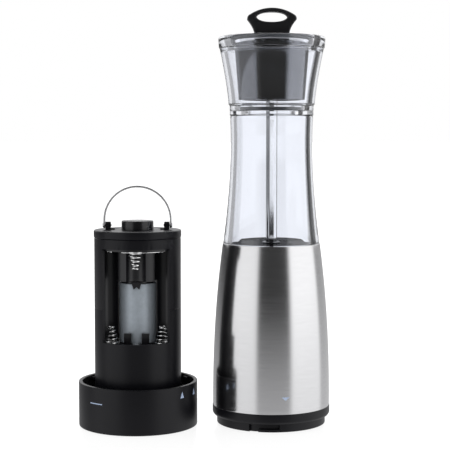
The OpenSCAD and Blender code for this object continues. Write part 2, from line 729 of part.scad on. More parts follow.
module contact_plates() color(steel) {
    for (i = [0 : 5]) rotate(60 * i - 90) translate([bay_circle, 0, i % 2 == 1 ? bay_top - 0.4 : bay_z]) {
        translate([-3.5, -3.5, 0]) cube([7, 7, 0.4]);
        if (i % 2 == 1) translate([0, 0, -0.8]) cylinder(r = 1.6, h = 0.9);
        else translate([0, 0, 0.3]) cylinder(r = 1.6, h = 0.9);
    }
    for (i = [0 : 5]) rotate(60 * i - 90) translate([bay_circle, 0, i % 2 == 1 ? bay_z : bay_top - 0.4])
        cylinder(r = 4.6, h = 0.4);
}

module motor_can() color(zinc) {
    top = motor_len;
    difference() {
        union() {
            translate([0, 0, bay_z]) lathe([[0, 0], [motor_r - 1, 0], [motor_r, 1], [motor_r, top - 0.6],
                [motor_r - 0.6, top], [0, top]]);
            translate([0, 0, bay_z - 2]) cylinder(r = 3.5, h = 2 + tiny);
        }
        translate([0, 0, bay_z + 1]) cylinder(r = motor_r - 1, h = top);
        translate([0, 0, bay_z - 3]) cylinder(r = 1.3, h = 5);
        for (x = [-6, 6]) translate([x, 0, bay_z - 1]) cylinder(r = 0.9, h = 3, $fn = 24);
    }
}

module motor_endcap() color(plastic) {
    z = bay_z + motor_len - 1.6;
    difference() {
        translate([0, 0, z]) cylinder(r = motor_r - 1.05, h = 2.6);
        translate([0, 0, z - 1]) cylinder(r = 1.3, h = 2.6);
    }
    translate([0, -motor_r - 0.1, z + 2.6]) rotate([90, 0, 0])
        linear_extrude(0.9) polygon([[-2.8, 0], [-1.6, -4], [0, -2.6], [1.6, -4], [2.8, 0]]);
    translate([-2.8, -motor_r - 1, z + 2]) cube([5.6, 3.2, 0.6]);
}

module motor_screws() color(steel) for (x = [-6, 6]) translate([x, 0, bay_z - plate_t])
    mirror([0, 0, 1]) screw(0.85, plate_t + 0.9, 1.7, 0.9, $fn = 24);

module motor_rotor() color([0.6, 0.4, 0.25]) {
    core = motor_len - 8;
    translate([0, 0, gear_z]) cylinder(r = 1, h = bay_z + motor_len - gear_z - 1.2);
    translate([0, 0, bay_z + 3]) cylinder(r = motor_r - 2.6, h = core);
    translate([0, 0, bay_z + 3 + core]) cylinder(r = 3, h = 2.4);
}

module gearbox_plate() color(nylon) translate([0, 0, gear_plate_z]) difference() {
    cylinder(r = module_in_r - 0.1, h = gear_plate_t);
    translate([0, 0, -1]) cylinder(r = 4.5, h = gear_plate_t + 2);
    for (x = [-6, 6]) translate([x, 0, -1]) cylinder(r = 2, h = gear_plate_t + 2, $fn = 24);
    around(3, 18.6, 30) translate([0, 0, -1]) cylinder(r = 1, h = gear_plate_t + 2, $fn = 24);
}

module ring_gear() color(nylon) {
    pitch = ring_teeth * tooth_m / 2;
    z = gear_cover_z + gear_cover_t;
    difference() {
        translate([0, 0, z]) cylinder(r = module_in_r - 0.1, h = gear_plate_z - z);
        translate([0, 0, gear_z - 0.3]) rotate(180 / ring_teeth) linear_extrude(30)
            polygon(tooth_outline(ring_teeth, pitch + DEDENDUM * tooth_m, pitch - ADDENDUM * tooth_m));
        translate([0, 0, z - 1]) cylinder(r = planet_circle + 5, h = gear_z - 0.3 - z + 1 + tiny);
        around(3, 18.6, 30) translate([0, 0, z - 1]) cylinder(r = 1, h = 40, $fn = 24);
    }
}

module gearbox_cover() color(nylon) difference() {
    union() {
        translate([0, 0, gear_cover_z]) cylinder(r = module_in_r - 0.1, h = gear_cover_t);
        translate([0, 0, gear_cover_z - boss_h]) cylinder(r = 7.5, h = boss_h + tiny);
    }
    translate([0, 0, gear_cover_z - boss_h - 1]) cylinder(r = output_r + bush_wall, h = 20);
    around(3, 18.6, 30) translate([0, 0, gear_cover_z - 1]) cylinder(r = 1, h = 10, $fn = 24);
}

module gearbox_screws() color(steel) around(3, 18.6, 30) translate([0, 0, gear_cover_z])
    mirror([0, 0, 1]) screw(0.95, gear_plate_z - gear_cover_z + 2, 1.8, 1, $fn = 24);

module output_bush() color([0.75, 0.6, 0.35]) translate([0, 0, gear_cover_z - boss_h])
    ring(output_r + bush_wall, output_r + fit, boss_h + gear_cover_t - 0.2);

module sun_gear() color(steel) translate([0, 0, gear_z]) spur(sun_teeth, 1.02, gear_w + 0.8);

module planet_carrier() color(steel) {
    hex_top = output_z + 4;
    difference() {
        translate([0, 0, arm_z]) cylinder(r = planet_circle + 4, h = arm_t);
        around(3, planet_circle) translate([0, 0, arm_z - 1]) cylinder(r = 1.25, h = arm_t + 2, $fn = 32);
    }
    translate([0, 0, output_z]) hexagon(rod_hex + 0.6, hex_top - output_z + tiny);
    translate([0, 0, hex_top]) cylinder(r = output_r, h = arm_z - hex_top + tiny);
}

module planet_pins() color(steel) around(3, planet_circle)
    translate([0, 0, arm_z + 0.2]) cylinder(r = 1.24, h = gear_top - arm_z - 0.4, $fn = 32);

module planet(angle) color(nylon) rotate(angle) translate([planet_circle, 0, gear_z])
    rotate(180 / planet_teeth) spur(planet_teeth, 1.24 + fit, gear_w);
module planet_a() planet(0);
module planet_b() planet(120);
module planet_c() planet(240);

module switch_button() color(plastic) {
    flange_t = 1.2;
    foot = cover_under - 0.1 - flange_t;
    ch = 0.5;
    difference() {
        lathe([[0, foot], [button_r + 1, foot], [button_r + 1, foot + flange_t],
            [button_r, foot + flange_t], [button_r, button_top - ch], [button_r - ch, button_top],
            [0, button_top]]);
        translate([0, 0, foot - 1]) cylinder(r = button_r - 1.6, h = button_top - foot - 1);
    }
    translate([0, 0, foot + 1]) cylinder(r = 1.6, h = button_top - foot - 2);
}

module button_spring() color(steel) translate([0, 0, deck_top + 0.5])
    coil(5.6, 5.6, button_top - deck_top - 3.4, 5, 0.35);

module micro_switch() color([0.15, 0.15, 0.16]) translate([0, 0, deck_top]) {
    translate([-3.2, -2.4, 0]) cube([6.4, 4.8, 1.6]);
    cylinder(r = 1, h = 2.4, $fn = 24);
}

module bail() color(steel) {
    inner = bail_half - bail_t / 2;
    translate([0, bail_w / 2, pivot_z + bail_leg]) rotate([90, 0, 0]) linear_extrude(bail_w)
        difference() {
            circle(r = inner + bail_t);
            circle(r = inner);
            translate([-40, -80]) square([80, 80]);
        }
    for (s = [0, 180]) rotate(s) difference() {
        union() {
            translate([inner, -bail_w / 2, pivot_z]) cube([bail_t, bail_w, bail_leg]);
            translate([inner, 0, pivot_z]) rotate([0, 90, 0]) cylinder(r = bail_w / 2, h = bail_t);
        }
        translate([inner - 1, 0, pivot_z]) rotate([0, 90, 0]) cylinder(r = pin_r, h = 3, $fn = 32);
    }
}

module bail_pins() color(steel) for (s = [0, 180]) rotate(s) {
    inner = bail_half - bail_t / 2;
    translate([lug_x - lug_w - 0.4, 0, pivot_z]) rotate([0, 90, 0])
        cylinder(r = pin_r, h = inner + bail_t + 0.4 - lug_x + lug_w, $fn = 32);
    translate([inner + bail_t, 0, pivot_z]) rotate([0, 90, 0]) cylinder(r = 1.3, h = 0.4, $fn = 32);
}

base_cup();
base_foot();
lock_marks();
bayonet_ring();
steel_shell();
body_sleeve();
sleeve_screws();
align_mark();
chamber_floor();
floor_bush();
floor_seal();
dog_retainer();
drive_dog();
pepper_jar();
jar_collar();
neck_seal();
hopper();
burr_housing();
shaft_spider();
spider_bush();
housing_screws();
adjuster_ring();
burr_ring();
drive_rod();
burr_cone();
burr_spring();
burr_nut();
lid_cap();
lid_handle();
lid_screws();
lid_seal();
module_lower_shell();
module_upper_shell();
module_cover();
cover_screws();
cell_carrier();
contact_springs();
contact_plates();
motor_can();
motor_endcap();
motor_screws();
motor_rotor();
gearbox_plate();
ring_gear();
gearbox_cover();
gearbox_screws();
output_bush();
sun_gear();
planet_carrier();
planet_pins();
planet_a();
planet_b();
planet_c();
switch_button();
button_spring();
micro_switch();
bail();
bail_pins();
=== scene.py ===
import json
import math

import bmesh
import bpy
from bpy.props import FloatProperty, FloatVectorProperty, IntProperty, PointerProperty
from mathutils import Matrix, Vector


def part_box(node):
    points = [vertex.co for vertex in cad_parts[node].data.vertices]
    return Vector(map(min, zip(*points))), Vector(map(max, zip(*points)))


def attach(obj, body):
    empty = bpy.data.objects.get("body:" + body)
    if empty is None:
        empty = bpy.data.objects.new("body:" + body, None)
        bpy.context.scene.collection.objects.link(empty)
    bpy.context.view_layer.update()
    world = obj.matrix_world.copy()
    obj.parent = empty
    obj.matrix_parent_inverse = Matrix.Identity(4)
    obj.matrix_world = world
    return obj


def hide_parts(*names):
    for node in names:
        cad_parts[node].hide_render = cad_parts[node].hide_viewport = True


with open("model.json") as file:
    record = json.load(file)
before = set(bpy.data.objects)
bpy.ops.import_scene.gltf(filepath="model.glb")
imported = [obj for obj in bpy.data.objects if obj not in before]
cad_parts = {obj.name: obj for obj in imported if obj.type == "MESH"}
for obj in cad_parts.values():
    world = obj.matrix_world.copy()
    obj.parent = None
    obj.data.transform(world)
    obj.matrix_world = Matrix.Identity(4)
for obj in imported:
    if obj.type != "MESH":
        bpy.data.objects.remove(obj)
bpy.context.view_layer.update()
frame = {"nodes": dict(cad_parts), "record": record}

bl_info = {
    "name": "Pepper Mill Maker",
    "version": (1, 0, 0),
    "blender": (4, 5, 0),
    "location": "3D View > Sidebar > Pepper Mill",
    "description": "Builds the visible pieces and finishes of a battery pepper mill round its frame",
    "category": "Object",
}

MM = 0.001
SLOTS = {row["node"]: row["material_slot"] for row in frame["record"]["subparts"]}
BODY_OF = {n: b for b, names in frame["record"]["behaviour"]["bodies"].items() for n in names}


# ---- the frame's own places ----

def low(node):
    return Vector(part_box(node)[0])


def high(node):
    return Vector(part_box(node)[1])


def centre(node):
    return (low(node) + high(node)) / 2


MILL_X, MILL_Y = centre("steel_shell")[:2]
MILL = Vector((MILL_X, MILL_Y, 0))
MODULE = Vector((0, 0, 0))


def radius(node):
    return (high(node).x - low(node).x) / 2


# ---- sizes and colours that a user would change ----

def length(name, text, mm):
    return FloatProperty(name=name, description=text, default=mm * MM, min=0.0, precision=5,
                         subtype="DISTANCE", unit="LENGTH")


def colour(name, text, *rgb):
    return FloatVectorProperty(name=name, description=text, default=rgb, size=3, min=0.0, max=1.0,
                               subtype="COLOR")


class MillSizes(bpy.types.PropertyGroup):
    """Edge radii, walls and wires of the visible pieces"""

    edge: length("Edge", "Radius on the moulded outer edges", 0.5)
    fine_edge: length("Fine edge", "Radius on small or thin edges", 0.2)
    cup_wall: length("Cup wall", "Wall of the base cup", 2.1)
    cup_floor: length("Cup floor", "Floor of the base cup", 2.4)
    shell_wall: length("Steel wall", "Wall of the steel shell", 0.7)
    jar_waist: length("Jar waist", "Outer radius of the pepper jar at its waist", 22.7)
    jar_waist_wall: length("Waist wall", "Wall of the pepper jar at its waist", 3.2)
    jar_foot_wall: length("Foot wall", "Wall of the pepper jar at its foot", 4.6)
    throat: length("Throat", "Radius of the hole in the collar", 13.4)
    hopper_wall: length("Hopper wall", "Wall of the clear hopper", 3.6)
    hopper_rim: length("Hopper rim", "Height of the ring at the hopper's foot", 2.9)
    lid_top: length("Lid top", "Thickness of the lid's top plate", 1.2)
    handle_edge: length("Handle edge", "Radius on the handle's edges", 0.9)
    module_wall: length("Module wall", "Wall of the module's shells", 1.6)
    bay_circle: length("Bay circle", "Radius of the circle that the cells stand on", 16.6)
    spring_wire: length("Spring wire", "Radius of the contact springs' wire", 0.36)
    strip: length("Bail strip", "Thickness of the bail's strip", 1.0)
    window_half: FloatProperty(name="Window", description="Half angle of each window",
                               default=math.radians(49.7), subtype="ANGLE", unit="ROTATION")
    steps: IntProperty(name="Steps", description="Sides of each turned piece", default=144, min=24)


class MillColours(bpy.types.PropertyGroup):
    """Colours of the finishes"""

    black: colour("Black", "Moulded black plastic", 0.0038, 0.0038, 0.0054)
    deep_black: colour("Deep black", "Black of the handle and the inner mouldings", 0.0045, 0.0045, 0.006)
    gunmetal: colour("Gunmetal", "Dark grey of the burr housing", 0.21, 0.215, 0.232)
    clear: colour("Clear", "Clear acrylic", 0.945, 0.962, 1.0)
    steel: colour("Steel", "Stainless steel", 0.66, 0.66, 0.665)
    bright: colour("Bright", "Polished steel and nickel plate", 0.9, 0.9, 0.9)
    zinc: colour("Zinc", "Zinc-plated motor can", 0.36, 0.4, 0.44)
    bronze: colour("Bronze", "Sintered bronze", 0.5, 0.31, 0.12)
    copper: colour("Copper", "Copper winding", 0.55, 0.23, 0.1)
    nylon: colour("Nylon", "Natural nylon", 0.7, 0.67, 0.58)
    ceramic: colour("Ceramic", "Unglazed white ceramic", 0.78, 0.77, 0.72)
    mark: colour("Mark", "Printed marks", 0.36, 0.44, 0.6)
    seal: colour("Seal", "Grey silicone", 0.26, 0.27, 0.29)


class StudioSettings(bpy.types.PropertyGroup):
    """Camera and light"""

    place: FloatVectorProperty(name="Camera", description="Place of the camera", size=3,
                               default=(0.0485, -0.7165, 0.16), subtype="TRANSLATION", unit="LENGTH")
    pitch: FloatProperty(name="Pitch", description="How far the camera looks down",
                         default=math.radians(3.86), subtype="ANGLE", unit="ROTATION")
    lens: FloatProperty(name="Lens", description="Focal length in millimetres on a 36 mm sensor",
                        default=103.6)
    softbox: FloatProperty(name="Softbox", description="Brightness of the softboxes in reflections",
                           default=1.35)
    sky: FloatProperty(name="Surround", description="Brightness of the white surround", default=1.0)


def sizes():
    return bpy.context.scene.mill_sizes


def colours():
    return bpy.context.scene.mill_colours


# ---- mesh work ----

ARC_STEPS = 5


def soften(corners):
    """Closed outline of (r, z, radius) corners, each turned into an arc where its radius isn't 0."""
    outline = []
    for i, corner in enumerate(corners):
        here = Vector(corner[:2])
        before = Vector(corners[i - 1][:2]) - here
        after = Vector(corners[(i + 1) % len(corners)][:2]) - here
        reach = min(corner[2] if len(corner) > 2 else 0, before.length * 0.49, after.length * 0.49)
        if reach <= 0:
            outline.append(here)
            continue
        start, end = here + before.normalized() * reach, here + after.normalized() * reach
        for k in range(ARC_STEPS + 1):
            t = k / ARC_STEPS
            outline.append(start * (1 - t) ** 2 + here * 2 * t * (1 - t) + end * t ** 2)
    return outline


def new_object(name, bm, smooth_angle=30):
    """A mesh object at the origin from a bmesh, smooth but for edges sharper than the angle."""
    bmesh.ops.remove_doubles(bm, verts=bm.verts, dist=1e-7)
    bmesh.ops.recalc_face_normals(bm, faces=bm.faces)
    mesh = bpy.data.meshes.new(name)
    bm.to_mesh(mesh)
    bm.free()
    mesh.shade_smooth()
    mesh.set_sharp_from_angle(angle=math.radians(smooth_angle))
    obj = bpy.data.objects.new(name, mesh)
    bpy.context.scene.collection.objects.link(obj)
    return obj


def sweep_round(name, outline, at=MODULE, start=0.0, turn=math.tau, steps=None):
    """Turns a closed outline of (r, z) points about a vertical axis, all the way round or part of it."""
    bm = bmesh.new()
    whole = turn >= math.tau
    steps = steps or max(3, round(sizes().steps * turn / math.tau))
    columns = []
    for k in range(steps if whole else steps + 1):
        a = start + turn * k / steps
        direction = Vector((math.cos(a), math.sin(a), 0))
        columns.append([bm.verts.new(Vector((at.x, at.y, p[1])) + direction * p[0]) for p in outline])
    pairs = zip(columns, columns[1:] + columns[:1]) if whole else zip(columns, columns[1:])
    for here, there in pairs:
        for i in range(len(outline)):
            j = (i + 1) % len(outline)
            if outline[i][0] > 0 or outline[j][0] > 0:
                bm.faces.new((here[i], here[j], there[j], there[i]))
    if not whole:
        bm.faces.new(columns[0])
        bm.faces.new(columns[-1])
    return new_object(name, bm)


def block(name, lo, hi):
    """A plain cutter or core from corner to corner."""
    bm = bmesh.new()
    bmesh.ops.create_cube(bm, size=1, matrix=Matrix.LocRotScale(
        (Vector(lo) + Vector(hi)) / 2, None, Vector(hi) - Vector(lo)))
    return new_object(name, bm)


def rod_along(name, at, axis, r, long, steps=48):
    """A cylinder from a point along an axis."""
    bm = bmesh.new()
    turn = Vector((0, 0, 1)).rotation_difference(Vector(axis)).to_matrix().to_4x4()
    place = Matrix.Translation(Vector(at) + Vector(axis) * long / 2) @ turn
    bmesh.ops.create_cone(bm, cap_ends=True, segments=steps, radius1=r, radius2=r, depth=long, matrix=place)
    return new_object(name, bm)


def settle(obj):
    """Applies an object's modifiers."""
    bpy.context.view_layer.update()
    done = bpy.data.meshes.new_from_object(obj.evaluated_get(bpy.context.evaluated_depsgraph_get()))
    old = obj.data
    obj.modifiers.clear()
    obj.data = done
    bpy.data.meshes.remove(old)


def carve(obj, others, operation="DIFFERENCE"):
    """Cuts other solids out of a solid, or joins them on, and removes them."""
    for other in others:
        mod = obj.modifiers.new("carve", "BOOLEAN")
        mod.operation, mod.solver, mod.object = operation, "EXACT", other
    settle(obj)
    for other in others:
        mesh = other.data
        bpy.data.objects.remove(other)
        bpy.data.meshes.remove(mesh)


def round_edges(obj, width, angle=40):
    """Rounds the edges that are sharper than an angle."""
    mod = obj.modifiers.new("edges", "BEVEL")
    mod.width, mod.segments, mod.limit_method = width, 3, "ANGLE"
    mod.angle_limit = math.radians(angle)
    mod.use_clamp_overlap = True
    settle(obj)
    obj.data.shade_smooth()
    obj.data.set_sharp_from_angle(angle=math.radians(35))


def tube(name, points, wire, sides=12):
    """A round wire along points, closed at both ends."""
    bm = bmesh.new()
    rings = []
    normal = None
    for i, p in enumerate(points):
        ahead = (points[min(i + 1, len(points) - 1)] - points[max(i - 1, 0)]).normalized()
        side = Vector((0, 0, 1)) if normal is None else normal
        normal = (side - ahead * side.dot(ahead)).normalized()
        across = ahead.cross(normal)
        rings.append([bm.verts.new(p + (normal * math.cos(a) + across * math.sin(a)) * wire)
                      for a in (math.tau * k / sides for k in range(sides))])
    for here, there in zip(rings, rings[1:]):
        for k in range(sides):
            m = (k + 1) % sides
            bm.faces.new((here[k], here[m], there[m], there[k]))
    bm.faces.new(rings[0])
    bm.faces.new(rings[-1])
    return new_object(name, bm, 50)


def place(obj, node, *more_nodes, stands=True):
    """Gives a piece its node's body, slot and finish, and lets it stand for that node."""
    obj.data.materials.clear()
    obj.data.materials.append(finish_of(SLOTS[node]))
    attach(obj, BODY_OF[node])
    if stands:
        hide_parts(node, *more_nodes)
    return obj


# ---- shader node groups ----

def new_group(name, inputs, outputs):
    """A node group with named sockets, and its input and output nodes."""
    group = bpy.data.node_groups.new(name, "ShaderNodeTree")
    for label, kind, value in inputs:
        socket = group.interface.new_socket(label, in_out="INPUT", socket_type=kind)
        if value is not None:
            socket.default_value = value
    for label, kind in outputs:
        group.interface.new_socket(label, in_out="OUTPUT", socket_type=kind)
    return group, group.nodes.new("NodeGroupInput"), group.nodes.new("NodeGroupOutput")


def math_node(tree, operation, a, b=None, clamp=False):
    node = tree.nodes.new("ShaderNodeMath")
    node.operation, node.use_clamp = operation, clamp
    for socket, value in zip(node.inputs, (a, b)):
        if value is None:
            continue
        if isinstance(value, (int, float)):
            socket.default_value = value
        else:
            tree.links.new(value, socket)
    return node.outputs[0]


def noise(tree, vector, scale, detail=3.0, rough=0.5):
    node = tree.nodes.new("ShaderNodeTexNoise")
    node.inputs["Detail"].default_value = detail
    node.inputs["Roughness"].default_value = rough
    tree.links.new(vector, node.inputs["Vector"])
    if isinstance(scale, (int, float)):
        node.inputs["Scale"].default_value = scale
    else:
        tree.links.new(scale, node.inputs["Scale"])
    return node.outputs["Fac"]


def about(tree, value, middle, spread):
    """A value that varies by a spread about a middle as a noise runs from 0 to 1."""
    offset = math_node(tree, "SUBTRACT", value, 0.5)
    return math_node(tree, "ADD", math_node(tree, "MULTIPLY", offset, spread), middle)


FLOAT, VECTOR = "NodeSocketFloat", "NodeSocketVector"


def moulded_grain_group():
    """Fine mould grain with handling smudges: height, roughness and tone."""
    g, i, o = new_group("Moulded grain", [("Vector", VECTOR, None), ("Grain", FLOAT, 2600.0),
                        ("Roughness", FLOAT, 0.4), ("Smudge", FLOAT, 0.12)],
                        [("Height", FLOAT), ("Roughness", FLOAT), ("Tone", FLOAT)])
    fine = noise(g, i.outputs["Vector"], i.outputs["Grain"], 2.0)
    smear = noise(g, i.outputs["Vector"], 55.0, 4.0, 0.6)
    cloud = noise(g, i.outputs["Vector"], 190.0, 3.0)
    g.links.new(fine, o.inputs["Height"])
    g.links.new(about(g, smear, i.outputs["Roughness"], i.outputs["Smudge"]), o.inputs["Roughness"])
    g.links.new(about(g, cloud, 1.0, 0.22), o.inputs["Tone"])
    return g


def round_brushing_group():
    """Hairlines that run round a vertical axis: height, roughness and tone."""
    g, i, o = new_group("Round brushing", [("Vector", VECTOR, None), ("Axis", VECTOR, None),
                        ("Lines", FLOAT, 9000.0), ("Roughness", FLOAT, 0.25), ("Spread", FLOAT, 0.14)],
                        [("Height", FLOAT), ("Roughness", FLOAT), ("Tone", FLOAT)])
    from_axis = g.nodes.new("ShaderNodeVectorMath")
    from_axis.operation = "SUBTRACT"
    g.links.new(i.outputs["Vector"], from_axis.inputs[0])
    g.links.new(i.outputs["Axis"], from_axis.inputs[1])
    split = g.nodes.new("ShaderNodeSeparateXYZ")
    g.links.new(from_axis.outputs[0], split.inputs[0])
    angle = math_node(g, "ARCTAN2", split.outputs["Y"], split.outputs["X"])
    heights = math_node(g, "MULTIPLY", split.outputs["Z"], i.outputs["Lines"])

    def lines(turns, share, detail):
        join = g.nodes.new("ShaderNodeCombineXYZ")
        g.links.new(math_node(g, "MULTIPLY", angle, turns), join.inputs["X"])
        g.links.new(math_node(g, "MULTIPLY", heights, share), join.inputs["Y"])
        return noise(g, join.outputs[0], 1.0, detail, 0.65)

    hair = lines(5.0, 1.0, 3.0)
    band = lines(1.6, 0.12, 2.0)
    g.links.new(hair, o.inputs["Height"])
    g.links.new(about(g, band, i.outputs["Roughness"], i.outputs["Spread"]), o.inputs["Roughness"])
    mixed = math_node(g, "ADD", math_node(g, "MULTIPLY", hair, 0.7), math_node(g, "MULTIPLY", band, 0.3))
    g.links.new(about(g, mixed, 1.0, 0.34), o.inputs["Tone"])
    return g


def plated_metal_group():
    """Mottled plating with faint pits: height, roughness and tone."""
    g, i, o = new_group("Plated metal", [("Vector", VECTOR, None), ("Mottle", FLOAT, 420.0),
                        ("Roughness", FLOAT, 0.3), ("Spread", FLOAT, 0.15), ("Contrast", FLOAT, 0.3)],
                        [("Height", FLOAT), ("Roughness", FLOAT), ("Tone", FLOAT)])
    mottle = noise(g, i.outputs["Vector"], i.outputs["Mottle"], 4.0, 0.6)
    pits = noise(g, i.outputs["Vector"], math_node(g, "MULTIPLY", i.outputs["Mottle"], 6.0), 2.0)
    g.links.new(pits, o.inputs["Height"])
    g.links.new(about(g, mottle, i.outputs["Roughness"], i.outputs["Spread"]), o.inputs["Roughness"])
    g.links.new(about(g, mottle, 1.0, i.outputs["Contrast"]), o.inputs["Tone"])
    return g


GROUPS = {}


def group(maker):
    if maker.__name__ not in GROUPS:
        GROUPS[maker.__name__] = maker()
    return GROUPS[maker.__name__]


# ---- finishes ----

def surface(name, base, effect, effect_values, bump=0.1, bump_depth=0.02, even=False, **shader_values):
    """A Principled finish whose roughness, bump and, unless its colour is even, tone come from a group."""
    mat = bpy.data.materials.new(name)
    mat.use_nodes = True
    tree = mat.node_tree
    shader = tree.nodes["Principled BSDF"]
    for label, value in shader_values.items():
        shader.inputs[label.replace("_", " ")].default_value = value
    where = tree.nodes.new("ShaderNodeTexCoord")
    grain = tree.nodes.new("ShaderNodeGroup")
    grain.node_tree = group(effect)
    for label, value in effect_values.items():
        grain.inputs[label].default_value = value
    tree.links.new(where.outputs["Object"], grain.inputs["Vector"])
    if even:
        shader.inputs["Base Color"].default_value = (*base, 1)
    else:
        tint = tree.nodes.new("ShaderNodeVectorMath")
        tint.operation = "SCALE"
        tint.inputs[0].default_value = base
        tree.links.new(grain.outputs["Tone"], tint.inputs["Scale"])
        tree.links.new(tint.outputs[0], shader.inputs["Base Color"])
    tree.links.new(grain.outputs["Roughness"], shader.inputs["Roughness"])
    relief = tree.nodes.new("ShaderNodeBump")
    relief.inputs["Strength"].default_value = bump
    relief.inputs["Distance"].default_value = bump_depth * MM
    tree.links.new(grain.outputs["Height"], relief.inputs["Height"])
    tree.links.new(relief.outputs["Normal"], shader.inputs["Normal"])
    return mat


def plastic(name, base, rough, grain=2600.0, smudge=0.1, bump=0.35, **more):
    return surface(name, base, moulded_grain_group,
                   {"Roughness": rough, "Grain": grain, "Smudge": smudge}, bump, **more)


def plated(name, base, rough, mottle=420.0, contrast=0.3, spread=0.12, metallic=1.0, **more):
    return surface(name, base, plated_metal_group,
                   {"Roughness": rough, "Mottle": mottle, "Contrast": contrast, "Spread": spread},
                   0.2, Metallic=metallic, **more)


def brushed(name, base, rough, axis, lines=9000.0, spread=0.12, **more):
    return surface(name, base, round_brushing_group,
                   {"Roughness": rough, "Axis": axis, "Lines": lines, "Spread": spread},
                   0.25, 0.012, Metallic=1.0, **more)


def clear_acrylic(name, base):
    """Clear acrylic with faint flow lines and a few handling smears."""
    return surface(name, base, moulded_grain_group, {"Roughness": 0.02, "Grain": 90.0, "Smudge": 0.03},
                   0.05, 0.02, even=True, IOR=1.49, Transmission_Weight=1.0)


def finishes():
    """How each slot's finish is made."""
    c = colours()
    return {
        "black_plastic": lambda n: plastic(n, c.black, 0.36, smudge=0.1, Specular_IOR_Level=0.24),
        "module_plastic": lambda n: plastic(n, c.black, 0.34, smudge=0.12, Specular_IOR_Level=0.22),
        "button_plastic": lambda n: plastic(n, c.black, 0.24, 1800.0, 0.08, 0.2),
        "handle_plastic": lambda n: plastic(n, c.deep_black, 0.38, smudge=0.1),
        "inner_plastic": lambda n: plastic(n, c.deep_black, 0.3, smudge=0.14),
        "gloss_black": lambda n: plastic(n, c.deep_black, 0.07, 600.0, 0.05, 0.05, IOR=1.009),
        "gunmetal_plastic": lambda n: plastic(n, c.gunmetal, 0.05, 900.0, 0.03, 0.1, Metallic=1.0),
        "clear_plastic": lambda n: clear_acrylic(n, c.clear),
        "brushed_shell": lambda n: brushed(n, c.steel, 0.17, MILL, Anisotropic=0.4),
        "rod_steel": lambda n: brushed(n, c.bright, 0.07, MILL, 5000.0, 0.04),
        "bail_steel": lambda n: plated(n, c.steel, 0.28, 900.0, 0.25),
        "spring_steel": lambda n: plated(n, c.bright, 0.2, 900.0, 0.2),
        "contact_nickel": lambda n: plated(n, c.bright, 0.25, 700.0, 0.25),
        "motor_zinc": lambda n: plated(n, c.zinc, 0.5, 380.0, 0.4, 0.12, 0.5),
        "rotor_copper": lambda n: plated(n, c.copper, 0.35, 900.0, 0.4),
        "gear_steel": lambda n: plated(n, c.steel, 0.3, 700.0, 0.2),
        "screw_steel": lambda n: plated(n, c.steel, 0.3, 900.0, 0.25),
        "dark_screw": lambda n: plated(n, c.black, 0.35, 900.0, 0.25),
        "bush_brass": lambda n: plated(n, c.bronze, 0.38, 1500.0, 0.35),
        "nylon": lambda n: plastic(n, c.nylon, 0.45, 1500.0, 0.1),
        "burr_ceramic": lambda n: plastic(n, c.ceramic, 0.5, 1800.0, 0.12),
        "seal_rubber": lambda n: plastic(n, c.deep_black, 0.6, 1500.0, 0.1),
        "seal_grey": lambda n: plastic(n, c.seal, 0.4, 1200.0, 0.1),
        "pad_rubber": lambda n: plastic(n, c.black, 0.7, 1200.0, 0.1, 0.5),
        "mark_ink": lambda n: plastic(n, c.mark, 0.4, 2000.0, 0.1, 0.2),
    }


FINISHED = {}


def finish_of(slot):
    if slot not in FINISHED:
        FINISHED[slot] = finishes()[slot](slot + "_finish")
    return FINISHED[slot]


# ---- stage ----

# Reflections of the studio by azimuth from the viewer's side, in degrees, clockwise from above
REFLECTED = [(-180, 0.02), (-94, 0.02), (-88, 0.9), (-34, 0.86), (-27, 0.03), (34, 0.04), (42, 1.05),
             (108, 1.05), (116, 0.3), (180, 0.3)]
# The same for light that reaches the viewer through the clear pieces, near the level and away from it
THROUGH = [(-180, 1.0), (-154, 1.0), (-148, 0.42), (-126, 0.42), (-118, 0.2), (-50, 0.2), (-24, 1.1),
           (118, 1.15), (124, 0.04), (150, 0.04), (158, 1.0), (180, 1.0)]
THROUGH_TILTED = [(-180, 1.0), (-154, 1.0), (-148, 0.42), (-126, 0.42), (-118, 0.75), (-54, 0.75),
                  (-46, 0.01), (40, 0.01), (56, 1.15), (118, 1.15), (124, 0.04), (150, 0.04),
                  (158, 1.0), (180, 1.0)]
# Upward part of the direction midway between the two level limits
LEVEL_MIDDLE = -0.031


def ramp(tree, factor, stops, lowest, highest):
    """A grey ramp over (position, level) stops."""
    scaled = tree.nodes.new("ShaderNodeMapRange")
    scaled.inputs["From Min"].default_value = math.radians(lowest)
    scaled.inputs["From Max"].default_value = math.radians(highest)
    tree.links.new(factor, scaled.inputs["Value"])
    node = tree.nodes.new("ShaderNodeValToRGB")
    elements = node.color_ramp.elements
    while len(elements) < len(stops):
        elements.new(0.5)
    for element, (position, level) in zip(elements, stops):
        element.position = (position - lowest) / (highest - lowest)
        element.color = (level, level, level * 1.01, 1)
    tree.links.new(scaled.outputs[0], node.inputs[0])
    return node.outputs[0]


def mix(tree, factor, a, b):
    node = tree.nodes.new("ShaderNodeMix")
    node.data_type = "RGBA"
    tree.links.new(factor, node.inputs["Factor"])
    for socket, value in ((node.inputs[6], a), (node.inputs[7], b)):
        if isinstance(value, tuple):
            socket.default_value = value
        else:
            tree.links.new(value, socket)
    return node.outputs[2]


def falling(tree, value, start, end, most=1.0):
    """Runs from 0 at the start to its most at the end."""
    node = tree.nodes.new("ShaderNodeMapRange")
    for label, setting in (("From Min", start), ("From Max", end), ("To Max", most)):
        node.inputs[label].default_value = setting
    tree.links.new(value, node.inputs["Value"])
    return node.outputs[0]


